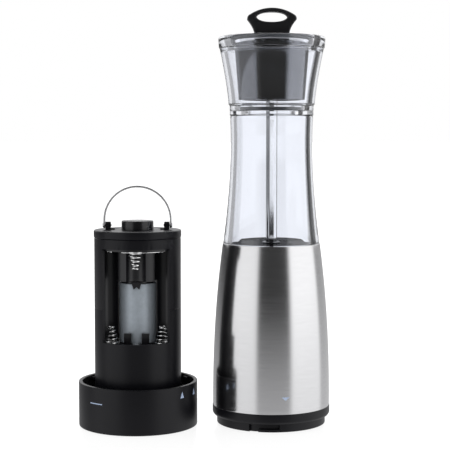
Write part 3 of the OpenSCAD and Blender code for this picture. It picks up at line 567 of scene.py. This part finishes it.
def studio_world(settings):
    """White surround, with softboxes and flags that only reflections and bent light meet."""
    world = bpy.data.worlds.new("studio")
    world.use_nodes = True
    tree = world.node_tree
    where = tree.nodes.new("ShaderNodeTexCoord")
    split = tree.nodes.new("ShaderNodeSeparateXYZ")
    tree.links.new(where.outputs["Generated"], split.inputs[0])
    forward = math_node(tree, "MULTIPLY", split.outputs["Y"], -1.0)
    azimuth = math_node(tree, "ARCTAN2", split.outputs["X"], forward)
    reflected = ramp(tree, azimuth, REFLECTED, -180, 180)
    table = (0.62, 0.62, 0.63, 1)
    reflected = mix(tree, falling(tree, split.outputs["Z"], 0.03, -0.22, 0.62), reflected, table)
    behind = math_node(tree, "MULTIPLY", falling(tree, split.outputs["Z"], 0.03, 0.12),
                       falling(tree, split.outputs["Y"], 0.3, 0.7))
    reflected = mix(tree, behind, reflected, (0.9, 0.9, 0.91, 1))
    gain = tree.nodes.new("ShaderNodeVectorMath")
    gain.operation = "SCALE"
    gain.inputs["Scale"].default_value = settings.softbox
    tree.links.new(reflected, gain.inputs[0])
    off_level = math_node(tree, "ABSOLUTE", math_node(tree, "SUBTRACT", split.outputs["Z"], LEVEL_MIDDLE))
    through = mix(tree, falling(tree, off_level, 0.056, 0.066),
                  ramp(tree, azimuth, THROUGH, -180, 180), ramp(tree, azimuth, THROUGH_TILTED, -180, 180))
    path = tree.nodes.new("ShaderNodeLightPath")
    white = (settings.sky, settings.sky, settings.sky, 1)
    level = mix(tree, path.outputs["Is Glossy Ray"], white, gain.outputs[0])
    level = mix(tree, path.outputs["Is Transmission Ray"], level, through)
    tree.links.new(level, tree.nodes["Background"].inputs["Color"])
    bpy.context.scene.world = world


class MILL_OT_studio(bpy.types.Operator):
    """Sets up the pale floor, the soft light and the camera"""

    bl_idname = "mill.studio"
    bl_label = "Studio"

    def execute(self, context):
        settings = context.scene.mill_studio
        camera = bpy.data.cameras.new("camera")
        camera.lens, camera.sensor_width = settings.lens, 36.0
        holder = bpy.data.objects.new("camera", camera)
        holder.location = settings.place
        holder.rotation_euler = (math.pi / 2 - settings.pitch, 0, 0)
        context.scene.collection.objects.link(holder)
        context.scene.camera = holder

        studio_world(settings)
        context.scene.view_settings.view_transform = "Standard"

        bm = bmesh.new()
        bmesh.ops.create_grid(bm, x_segments=8, y_segments=8, size=40.0)
        floor = new_object("floor", bm)
        mat = bpy.data.materials.new("floor_finish")
        mat.use_nodes = True
        tree = mat.node_tree
        shader = tree.nodes["Principled BSDF"]
        shader.inputs["Base Color"].default_value = (0.24, 0.24, 0.24, 1)
        shader.inputs["Roughness"].default_value = 0.16
        shader.inputs["IOR"].default_value = 1.25
        glow = tree.nodes.new("ShaderNodeEmission")
        glow.inputs["Strength"].default_value = 0.84
        both = tree.nodes.new("ShaderNodeAddShader")
        tree.links.new(shader.outputs[0], both.inputs[0])
        tree.links.new(glow.outputs[0], both.inputs[1])
        tree.links.new(both.outputs[0], tree.nodes["Material Output"].inputs["Surface"])
        floor.data.materials.append(mat)
        floor.visible_glossy = False
        floor.visible_transmission = False
        return {"FINISHED"}


# ---- base ----

class MILL_OT_base_cup(bpy.types.Operator):
    """Turns the base cup with its rounded rim and locking lugs"""

    bl_idname = "mill.base_cup"
    bl_label = "Base cup"

    def execute(self, context):
        s = sizes()
        foot, rim = low("base_cup").z, high("base_cup").z
        out, inner = radius("base_cup"), radius("base_cup") - s.cup_wall
        pad, pad_top = radius("base_foot") + 0.02 * MM, high("base_foot").z
        floor = foot + s.cup_floor
        cup = sweep_round("cup_body", soften([
            (0, pad_top), (pad, pad_top), (pad, foot), (out, foot, s.edge * 1.6), (out, rim, s.edge),
            (inner, rim, s.edge), (inner, floor, 2 * s.edge), (0, floor)]))
        place(cup, "base_cup")
        lug_low = rim - 3.0 * MM
        lug_top = lug_low + 1.9 * MM
        tip, root = inner - 1.3 * MM, inner + 0.1 * MM
        arc = math.radians(7)
        for k in range(3):
            lug = sweep_round(
                f"cup_lug_{k + 1}", [(tip, lug_low), (root, lug_low), (root, lug_top), (tip, lug_top)],
                start=math.radians(-90 + 120 * k) - arc / 2, turn=arc, steps=6)
            round_edges(lug, s.fine_edge)
            place(lug, "base_cup", stands=False)
        return {"FINISHED"}


# ---- mill body ----

class MILL_OT_bayonet_ring(bpy.types.Operator):
    """Turns the bayonet ring and cuts its L slots"""

    bl_idname = "mill.bayonet_ring"
    bl_label = "Bayonet ring"

    def execute(self, context):
        s = sizes()
        foot, collar_top = low("bayonet_ring").z, high("bayonet_ring").z
        flange, shell_foot = radius("bayonet_ring"), low("steel_shell").z
        spigot, inner = flange - s.cup_wall - 0.4 * MM, flange - s.cup_wall - 3.0 * MM
        step = shell_foot - 5.3 * MM
        neck = flange - 0.2 * MM - s.shell_wall - 0.15 * MM
        web = step + 1.2 * MM
        web_top = web + 2 * MM
        collar_in = neck - 1.6 * MM
        sleeve = 24.7 * MM
        ring = sweep_round("spigot_ring", soften([
            (inner, foot, s.fine_edge), (spigot, foot, s.edge), (spigot, step, s.fine_edge),
            (flange - 0.8 * MM, step, s.fine_edge), (flange, step + 1.1 * MM, s.edge),
            (flange, shell_foot, s.edge * 0.7), (neck, shell_foot), (neck, collar_top),
            (collar_in, collar_top), (collar_in, web_top), (sleeve, web_top),
            (sleeve, web), (inner, web)]), MILL)
        cutters = []
        deep, clear = spigot - 1.8 * MM, spigot + 1 * MM
        for k in range(3):
            start = math.radians(120 * k - 115)
            for turn, z0, z1 in ((math.radians(10), -1, 4.1), (math.radians(32), 1.5, 4.1)):
                slot_low, slot_top = foot + z0 * MM, foot + z1 * MM
                cutters.append(sweep_round("slot_cutter", [
                    (deep, slot_low), (clear, slot_low), (clear, slot_top), (deep, slot_top)],
                    MILL, start, turn, 16))
        carve(ring, cutters)
        ring.data.shade_smooth()
        ring.data.set_sharp_from_angle(angle=math.radians(30))
        place(ring, "bayonet_ring")
        return {"FINISHED"}


class MILL_OT_steel_shell(bpy.types.Operator):
    """Turns the brushed steel shell with its turned-in edges"""

    bl_idname = "mill.steel_shell"
    bl_label = "Steel shell"

    def execute(self, context):
        s = sizes()
        foot, top = low("steel_shell").z, high("steel_shell").z
        wide, narrow = radius("steel_shell"), 27.2 * MM
        steps = 40
        outer = [(wide - (wide - narrow) * (i / steps) ** 2.2, foot + (top - foot) * i / steps)
                 for i in range(steps + 1)]
        edge = 0.25 * MM
        corners = [(r, z, 0) for r, z in outer]
        corners[0], corners[-1] = (*outer[0], edge), (*outer[-1], edge)
        corners += [(r - s.shell_wall, z, 0) for r, z in reversed(outer)]
        place(sweep_round("steel_body", soften(corners), MILL), "steel_shell")
        return {"FINISHED"}


# ---- clear pieces ----

def waist_curve(t, power, waist=0.8):
    return (abs(waist - t) / waist) ** power


class MILL_OT_pepper_jar(bpy.types.Operator):
    """Turns the waisted pepper jar and its collar"""

    bl_idname = "mill.pepper_jar"
    bl_label = "Pepper jar"

    def execute(self, context):
        s = sizes()
        seat, skirt_foot, top = high("steel_shell").z, low("pepper_jar").z, high("pepper_jar").z
        foot_r = radius("pepper_jar")
        bore = foot_r - s.jar_foot_wall
        skirt = radius("floor_seal") + 0.2 * MM
        waist_in = s.jar_waist - s.jar_waist_wall
        steps = 44
        outer = [(s.jar_waist + (foot_r - s.jar_waist) * waist_curve(i / steps, 1.8),
                  seat + (top - seat) * i / steps, 0) for i in range(steps + 1)]
        inner = [(waist_in + (bore - waist_in) * waist_curve(i / steps, 1.6),
                  seat + (top - seat) * i / steps, 0) for i in range(steps, 0, -1)]
        outer[0] = (*outer[0][:2], 0.35 * MM)
        outer[-1] = (*outer[-1][:2], 0.3 * MM)
        inner[0] = (*inner[0][:2], 0.3 * MM)
        outline = [(skirt, skirt_foot), (skirt, seat)] + outer + inner
        outline += [(bore, seat + 1 * MM), (bore, skirt_foot)]
        jar = sweep_round("jar_body", soften(outline), MILL)
        place(jar, "pepper_jar")

        low_z, high_z, out = low("jar_collar").z, high("jar_collar").z, radius("jar_collar")
        collar = sweep_round("collar_ring", soften([
            (s.throat, low_z, s.edge), (out, low_z, 0.9 * MM), (out, high_z, s.fine_edge),
            (s.throat, high_z, s.edge)]), MILL)
        place(collar, "jar_collar")
        return {"FINISHED"}


class MILL_OT_hopper(bpy.types.Operator):
    """Turns the flared hopper with its foot ring and inner ledge"""

    bl_idname = "mill.hopper"
    bl_label = "Hopper"

    def execute(self, context):
        s = sizes()
        foot, top, mouth = low("hopper").z, high("hopper").z, radius("hopper")
        ring_r, neck = radius("jar_collar"), radius("neck_seal") + 0.3 * MM
        rim = foot + s.hopper_rim
        start_z, start_r = rim + 0.7 * MM, s.jar_waist + 1.3 * MM
        ledge = 21.3 * MM
        steps = 26
        outer = [(start_r + (mouth - start_r) * (i / steps) ** 1.35,
                  start_z + (top - start_z) * i / steps, 0) for i in range(steps + 1)]
        inner = [(r - s.hopper_wall, z, 0) for r, z, _ in reversed(outer[:-1])]
        outer[-1] = (*outer[-1][:2], 0.35 * MM)
        under = inner[0][0]
        inner[-1] = (*inner[-1][:2], 0.6 * MM)
        hopper = sweep_round("hopper_body", soften(
            [(neck, foot, s.fine_edge), (ring_r, foot, s.fine_edge), (ring_r, rim, 0.9 * MM)] + outer
            + [(ledge, top, s.fine_edge), (ledge, top - 1.5 * MM, s.fine_edge), (under, top - 1.5 * MM)]
            + inner + [(neck, rim, s.fine_edge)]), MILL)
        place(hopper, "hopper")
        return {"FINISHED"}


class MILL_OT_burr_housing(bpy.types.Operator):
    """Turns the dark burr housing and its flange"""

    bl_idname = "mill.burr_housing"
    bl_label = "Burr housing"

    def execute(self, context):
        s = sizes()
        foot, top = low("burr_housing").z, high("burr_housing").z
        seat = high("hopper").z + 0.1 * MM
        flange, wide, narrow, wall = radius("burr_housing"), 20.7 * MM, 18.4 * MM, 1.8 * MM
        shelf = foot + 4.6 * MM
        shelf_top = shelf + 3 * MM
        outlet = 12.6 * MM

        def wall_r(z):
            return narrow + (wide - narrow) * (z - foot) / (seat - foot) - wall

        body = sweep_round("housing_body", soften([
            (narrow - wall, foot, s.fine_edge), (narrow, foot, s.edge), (wide, seat),
            (flange, seat, s.fine_edge), (flange, top, s.edge), (wide - wall, top, s.fine_edge),
            (wall_r(shelf_top), shelf_top, s.edge), (outlet, shelf_top, s.fine_edge),
            (outlet, shelf, s.fine_edge), (wall_r(shelf), shelf, s.edge)]), MILL)
        guides = []
        for a in (60, 180, 300):
            guide = block("guide", (15.6 * MM, -1.5 * MM, shelf_top - 1 * MM),
                          (18.0 * MM, 1.5 * MM, high("burr_ring").z))
            guide.data.transform(Matrix.Translation(MILL) @ Matrix.Rotation(math.radians(a), 4, "Z"))
            guides.append(guide)
        carve(body, guides, "UNION")
        body.data.shade_smooth()
        body.data.set_sharp_from_angle(angle=math.radians(30))
        place(body, "burr_housing")
        return {"FINISHED"}


# ---- lid ----

class MILL_OT_lid_cap(bpy.types.Operator):
    """Turns the clear lid cap with its rounded edge"""

    bl_idname = "mill.lid_cap"
    bl_label = "Lid cap"

    def execute(self, context):
        s = sizes()
        foot, top, out = low("lid_cap").z, high("lid_cap").z, radius("lid_cap")
        bore, plate = 23.5 * MM, top - s.lid_top
        cap = sweep_round("lid_body", soften([
            (bore, foot, s.fine_edge), (out - 0.55 * MM, foot, 0.5 * MM), (out, top, 1.9 * MM),
            (0, top), (0, plate), (bore, plate, s.fine_edge)]), MILL)
        holes = [rod_along("hole", MILL + Vector((x, 0, plate - 1 * MM)), (0, 0, 1), 1.1 * MM, 5 * MM)
                 for x in (-5 * MM, 5 * MM)]
        carve(cap, holes)
        cap.data.shade_smooth()
        cap.data.set_sharp_from_angle(angle=math.radians(30))
        place(cap, "lid_cap")
        return {"FINISHED"}


class MILL_OT_lid_handle(bpy.types.Operator):
    """Shapes the loop handle with a lens-shaped eye"""

    bl_idname = "mill.lid_handle"
    bl_label = "Lid handle"

    def execute(self, context):
        s = sizes()
        foot, top = low("lid_handle").z, high("lid_handle").z
        half, height, thick = radius("lid_handle"), top - foot, high("lid_handle").y - low("lid_handle").y
        foot_half, arch, tip = 9.5 * MM, 3.8 * MM, 2.4 * MM
        tip_middle = height - arch - tip * math.sin(math.radians(60))
        tip_z = tip_middle - 0.5 * MM
        arch_half = half - 0.5 * tip
        arch_r = (arch_half ** 2 + arch ** 2) / (2 * arch)
        arch_end = math.asin(arch_half / arch_r)
        side = [(foot_half + (half - foot_half) * (i / 16) ** 2, tip_z * i / 16) for i in range(17)]
        side += [(half - tip + tip * math.cos(a), tip_middle + tip * math.sin(a))
                 for a in (math.radians(d) for d in range(0, 60, 10))]
        side += [(arch_r * math.sin(a), height - arch_r + arch_r * math.cos(a))
                 for a in (arch_end * (1 - i / 16) for i in range(17))]
        eye_half, eye_h, eye_z = 8.5 * MM, 5.55 * MM, height - 5 * MM
        eye = []
        for k in range(48):
            across, up = math.cos(math.tau * k / 48), math.sin(math.tau * k / 48)
            x = eye_half * math.copysign(abs(across) ** (2 / 2.4), across)
            z = eye_h / 2 * math.copysign(abs(up) ** (2 / 1.8), up)
            eye.append((x, eye_z + z))
        curve = bpy.data.curves.new("handle_outline", "CURVE")
        curve.dimensions, curve.fill_mode = "2D", "BOTH"
        curve.bevel_depth, curve.bevel_resolution = s.handle_edge, 4
        curve.offset, curve.extrude = -s.handle_edge, thick / 2 - s.handle_edge
        for points in (side + [(-x, z) for x, z in reversed(side[:-1])], eye):
            spline = curve.splines.new("POLY")
            spline.points.add(len(points) - 1)
            for point, (x, z) in zip(spline.points, points):
                point.co = (x, z, 0, 1)
            spline.use_cyclic_u = True
        outline = bpy.data.objects.new("handle_outline", curve)
        context.scene.collection.objects.link(outline)
        bpy.context.view_layer.update()
        graph = bpy.context.evaluated_depsgraph_get()
        mesh = bpy.data.meshes.new_from_object(outline.evaluated_get(graph))
        bpy.data.objects.remove(outline)
        bpy.data.curves.remove(curve)
        bm = bmesh.new()
        bm.from_mesh(mesh)
        bpy.data.meshes.remove(mesh)
        bm.transform(Matrix.Translation(MILL + Vector((0, 0, foot))) @ Matrix.Rotation(math.pi / 2, 4, "X"))
        bmesh.ops.remove_doubles(bm, verts=bm.verts, dist=2e-6)
        place(new_object("loop_handle", bm, 35), "lid_handle")
        return {"FINISHED"}


# ---- power module ----

def window_cutters(reach):
    """Sectors that cut the front and back windows, from near the axis out to a reach."""
    s = sizes()
    low_z, top_z = low("motor_can").z + 3.8 * MM, low("module_cover").z - 5.4 * MM
    return [sweep_round("window_cutter", [(5 * MM, low_z), (reach, low_z), (reach, top_z), (5 * MM, top_z)],
                        MODULE, math.radians(a) - s.window_half, 2 * s.window_half, 40) for a in (-90, 90)]


class MILL_OT_module_shells(bpy.types.Operator):
    """Turns the module's two shells and cuts the cell windows"""

    bl_idname = "mill.module_shells"
    bl_label = "Module shells"

    def execute(self, context):
        s = sizes()
        foot, seam = low("module_lower_shell").z, high("module_lower_shell").z
        top = high("module_upper_shell").z
        out = radius("module_lower_shell")
        inner, groove = out - s.module_wall, 0.3 * MM
        drive_hole, floor = 8 * MM, foot + 2.2 * MM
        lower = sweep_round("lower_shell", soften([
            (drive_hole, foot, s.fine_edge), (out, foot, s.edge), (out, seam - groove, s.fine_edge),
            (out - groove, seam - groove), (out - groove, seam), (inner, seam),
            (inner, floor, s.edge), (drive_hole, floor, s.fine_edge)]))
        upper = sweep_round("upper_shell", soften([
            (inner, seam), (out, seam, s.fine_edge), (out, top - groove, s.fine_edge),
            (out - groove, top), (inner, top)]))
        for shell, node in ((lower, "module_lower_shell"), (upper, "module_upper_shell")):
            carve(shell, window_cutters(out + 5 * MM))
            round_edges(shell, 0.18 * MM, 50)
            place(shell, node)
        return {"FINISHED"}


class MILL_OT_module_cover(bpy.types.Operator):
    """Turns the module's cover and joins the bail's lugs on"""

    bl_idname = "mill.module_cover"
    bl_label = "Module cover"

    def execute(self, context):
        s = sizes()
        foot, out = low("module_cover").z, radius("module_cover")
        top = high("switch_button").z - 5 * MM
        under, inner, bore = top - 2.2 * MM, out - 0.25 * MM - s.module_wall, radius_of_button() + 0.12 * MM
        cover = sweep_round("cover_plate", soften([
            (inner, foot), (out - 0.55 * MM, foot), (out, foot + 0.3 * MM, s.fine_edge),
            (out, top, 0.9 * MM), (bore, top, s.fine_edge), (bore, under), (inner, under)]))
        pivot = centre("bail_pins").z
        lug_r, root = 1.9 * MM, top - 0.5 * MM
        lugs = []
        for side in (1, -1):
            x0, x1 = sorted((side * 14.85 * MM, side * 17.65 * MM))
            lugs.append(block("lug", (x0, -lug_r, root), (x1, lug_r, pivot)))
            lugs.append(rod_along("lug", (x0, 0, pivot), (1, 0, 0), lug_r, x1 - x0))
            toe = block("toe", (x0, -1.1 * MM, root), (x1, 1.1 * MM, top + 0.8 * MM))
            toe.data.transform(Matrix.Translation((-side * 2.2 * MM, 0, 0)))
            lugs.append(toe)
        carve(cover, lugs, "UNION")
        wells = [rod_along("well", (x, y, top - 0.9 * MM), (0, 0, 1), 1.9 * MM, 3 * MM)
                 for x, y in screw_places()]
        pin_bores = [rod_along("bore", (-30 * MM, 0, pivot), (1, 0, 0), 0.85 * MM, 60 * MM)]
        carve(cover, wells + pin_bores)
        round_edges(cover, 0.15 * MM, 50)
        place(cover, "module_cover")
        return {"FINISHED"}


def radius_of_button():
    return radius("switch_button") - 1 * MM


def screw_places():
    return [(14.6 * MM * math.cos(math.radians(a)), 14.6 * MM * math.sin(math.radians(a)))
            for a in (30, 150, 270)]


class MILL_OT_switch_button(bpy.types.Operator):
    """Turns the push button with its dished top"""

    bl_idname = "mill.switch_button"
    bl_label = "Switch button"

    def execute(self, context):
        s = sizes()
        foot, top, flange = low("switch_button").z, high("switch_button").z, radius("switch_button")
        out, inner = flange - 1 * MM, flange - 2.6 * MM
        flange_top, under, stem, stem_foot = foot + 1.2 * MM, top - 1 * MM, 1.6 * MM, foot + 1 * MM
        button = sweep_round("push_button", soften([
            (0, stem_foot), (stem, stem_foot, s.fine_edge), (stem, under), (inner, under, s.fine_edge),
            (inner, foot), (flange, foot, s.fine_edge), (flange, flange_top, s.fine_edge),
            (out, flange_top), (out, top, 0.6 * MM), (out - 1.4 * MM, top, 0.4 * MM),
            (out - 2.2 * MM, top - 0.18 * MM, 1.0 * MM), (0, top - 0.25 * MM)]))
        place(button, "switch_button")
        return {"FINISHED"}


class MILL_OT_bail(bpy.types.Operator):
    """Bends the bail's strip between its lugs"""

    bl_idname = "mill.bail"
    bl_label = "Bail"

    def execute(self, context):
        s = sizes()
        pivot, top = centre("bail_pins").z, high("bail").z
        half_w = (high("bail").y - low("bail").y) / 2
        r = radius("bail") - s.strip / 2
        middle = top - s.strip / 2 - r
        foot = [(r, pivot - half_w * (1 - i / 8)) for i in range(8)]
        arch = [(r * math.cos(a), middle + r * math.sin(a)) for a in (math.pi * k / 64 for k in range(65))]
        path = foot + [(r, pivot + 0.7 * MM)] + arch
        path += [(-x, z) for x, z in reversed(foot + [(r, pivot + 0.7 * MM)])]
        bm = bmesh.new()
        rings = []
        for i, (x, z) in enumerate(path):
            x0, z0 = path[max(i - 1, 0)]
            x1, z1 = path[min(i + 1, len(path) - 1)]
            ahead = Vector((x1 - x0, 0, z1 - z0)).normalized()
            out = ahead.cross(Vector((0, 1, 0)))
            below = max(0.0, pivot - z)
            w = math.sqrt(max(half_w ** 2 - below ** 2, (0.3 * MM) ** 2))
            edge, t = 0.12 * MM, s.strip / 2
            section = [(w - edge, t), (w, t - edge), (w, edge - t), (w - edge, -t),
                       (edge - w, -t), (-w, edge - t), (-w, t - edge), (edge - w, t)]
            rings.append([bm.verts.new(Vector((x, y, z)) + out * d) for y, d in section])
        for here, there in zip(rings, rings[1:]):
            for k in range(8):
                m = (k + 1) % 8
                bm.faces.new((here[k], here[m], there[m], there[k]))
        bm.faces.new(rings[0])
        bm.faces.new(rings[-1])
        place(new_object("bail_strip", bm, 50), "bail")
        return {"FINISHED"}


class MILL_OT_contacts(bpy.types.Operator):
    """Winds the six contact springs and adds the strip that joins two cells"""

    bl_idname = "mill.contacts"
    bl_label = "Contacts"

    def execute(self, context):
        s = sizes()
        floor, roof = low("contact_plates").z + 0.4 * MM, high("contact_plates").z - 0.4 * MM
        wide, narrow, tall, turns = 4.1 * MM, 1.8 * MM, 8.6 * MM, 5.5
        flat_share, rise_share, steps = 0.14, 0.74, 150
        for k in range(6):
            a = math.radians(60 * k - 90)
            mid = Vector((math.cos(a), math.sin(a), 0)) * s.bay_circle
            up = 1 if k % 2 else -1
            start = (floor if k % 2 else roof) + up * s.spring_wire
            points = []
            for i in range(steps + 1):
                t = i / steps
                lift = max(0.0, min(1.0, (t - flat_share) / rise_share)) + 0.02 * t
                r = wide + (narrow - wide) * lift
                turn = math.tau * turns * t
                height = start + up * tall * lift
                points.append(mid + Vector((r * math.cos(turn), r * math.sin(turn), height)))
            spring = tube(f"cell_spring_{k + 1}", points, s.spring_wire, 10)
            place(spring, "contact_springs", stands=(k == 0))
        near, far, strip_low, edge = 15.5 * MM, 19.5 * MM, roof - 0.35 * MM, 0.1 * MM
        strip = sweep_round("cell_strip", soften([
            (near, strip_low, edge), (far, strip_low, edge), (far, roof, edge), (near, roof, edge)]),
            MODULE, math.radians(-113), math.radians(72), 24)
        place(strip, "contact_plates", stands=False)
        return {"FINISHED"}


class MILL_OT_motor(bpy.types.Operator):
    """Turns the motor can with its rolled edges and boss"""

    bl_idname = "mill.motor"
    bl_label = "Motor"

    def execute(self, context):
        s = sizes()
        boss, top, r = low("motor_can").z, high("motor_can").z, radius("motor_can")
        face = boss + 2 * MM
        bore, boss_r, wall = 1.3 * MM, 3.5 * MM, 1 * MM
        can = sweep_round("motor_body", soften([
            (bore, boss), (boss_r, boss, s.fine_edge), (boss_r, face), (r, face, 1.1 * MM),
            (r, top, 0.5 * MM), (r - wall, top, 0.2 * MM), (r - wall, face + wall), (bore, face + wall)]))
        place(can, "motor_can")
        return {"FINISHED"}


# ---- finishes of the frame's own nodes ----

class MILL_OT_finishes(bpy.types.Operator):
    """Gives each node that still shows its finish"""

    bl_idname = "mill.finishes"
    bl_label = "Finishes"

    def execute(self, context):
        for name, obj in frame["nodes"].items():
            obj.data.materials.clear()
            obj.data.materials.append(finish_of(SLOTS[name]))
        return {"FINISHED"}


STEPS = [MILL_OT_studio, MILL_OT_finishes, MILL_OT_base_cup, MILL_OT_bayonet_ring, MILL_OT_steel_shell,
         MILL_OT_pepper_jar, MILL_OT_hopper, MILL_OT_burr_housing, MILL_OT_lid_cap, MILL_OT_lid_handle,
         MILL_OT_module_shells, MILL_OT_module_cover, MILL_OT_switch_button, MILL_OT_bail,
         MILL_OT_contacts, MILL_OT_motor]


class MILL_PT_panel(bpy.types.Panel):
    """Lists the mill's sizes, colours and building steps"""

    bl_idname = "MILL_PT_panel"
    bl_label = "Pepper Mill"
    bl_space_type = "VIEW_3D"
    bl_region_type = "UI"
    bl_category = "Pepper Mill"

    def draw(self, context):
        for settings in (context.scene.mill_sizes, context.scene.mill_colours, context.scene.mill_studio):
            column = self.layout.column(align=True)
            for name in settings.__annotations__:
                column.prop(settings, name)
        for step in STEPS:
            self.layout.operator(step.bl_idname)


CLASSES = [MillSizes, MillColours, StudioSettings, *STEPS, MILL_PT_panel]


def register():
    for cls in CLASSES:
        bpy.utils.register_class(cls)
    bpy.types.Scene.mill_sizes = PointerProperty(type=MillSizes)
    bpy.types.Scene.mill_colours = PointerProperty(type=MillColours)
    bpy.types.Scene.mill_studio = PointerProperty(type=StudioSettings)


def unregister():
    del bpy.types.Scene.mill_studio
    del bpy.types.Scene.mill_colours
    del bpy.types.Scene.mill_sizes
    for cls in reversed(CLASSES):
        bpy.utils.unregister_class(cls)


def main():
    register()
    for step in STEPS:
        family, name = step.bl_idname.split(".")
        getattr(getattr(bpy.ops, family), name)()


if __name__ == "__main__":
    main()
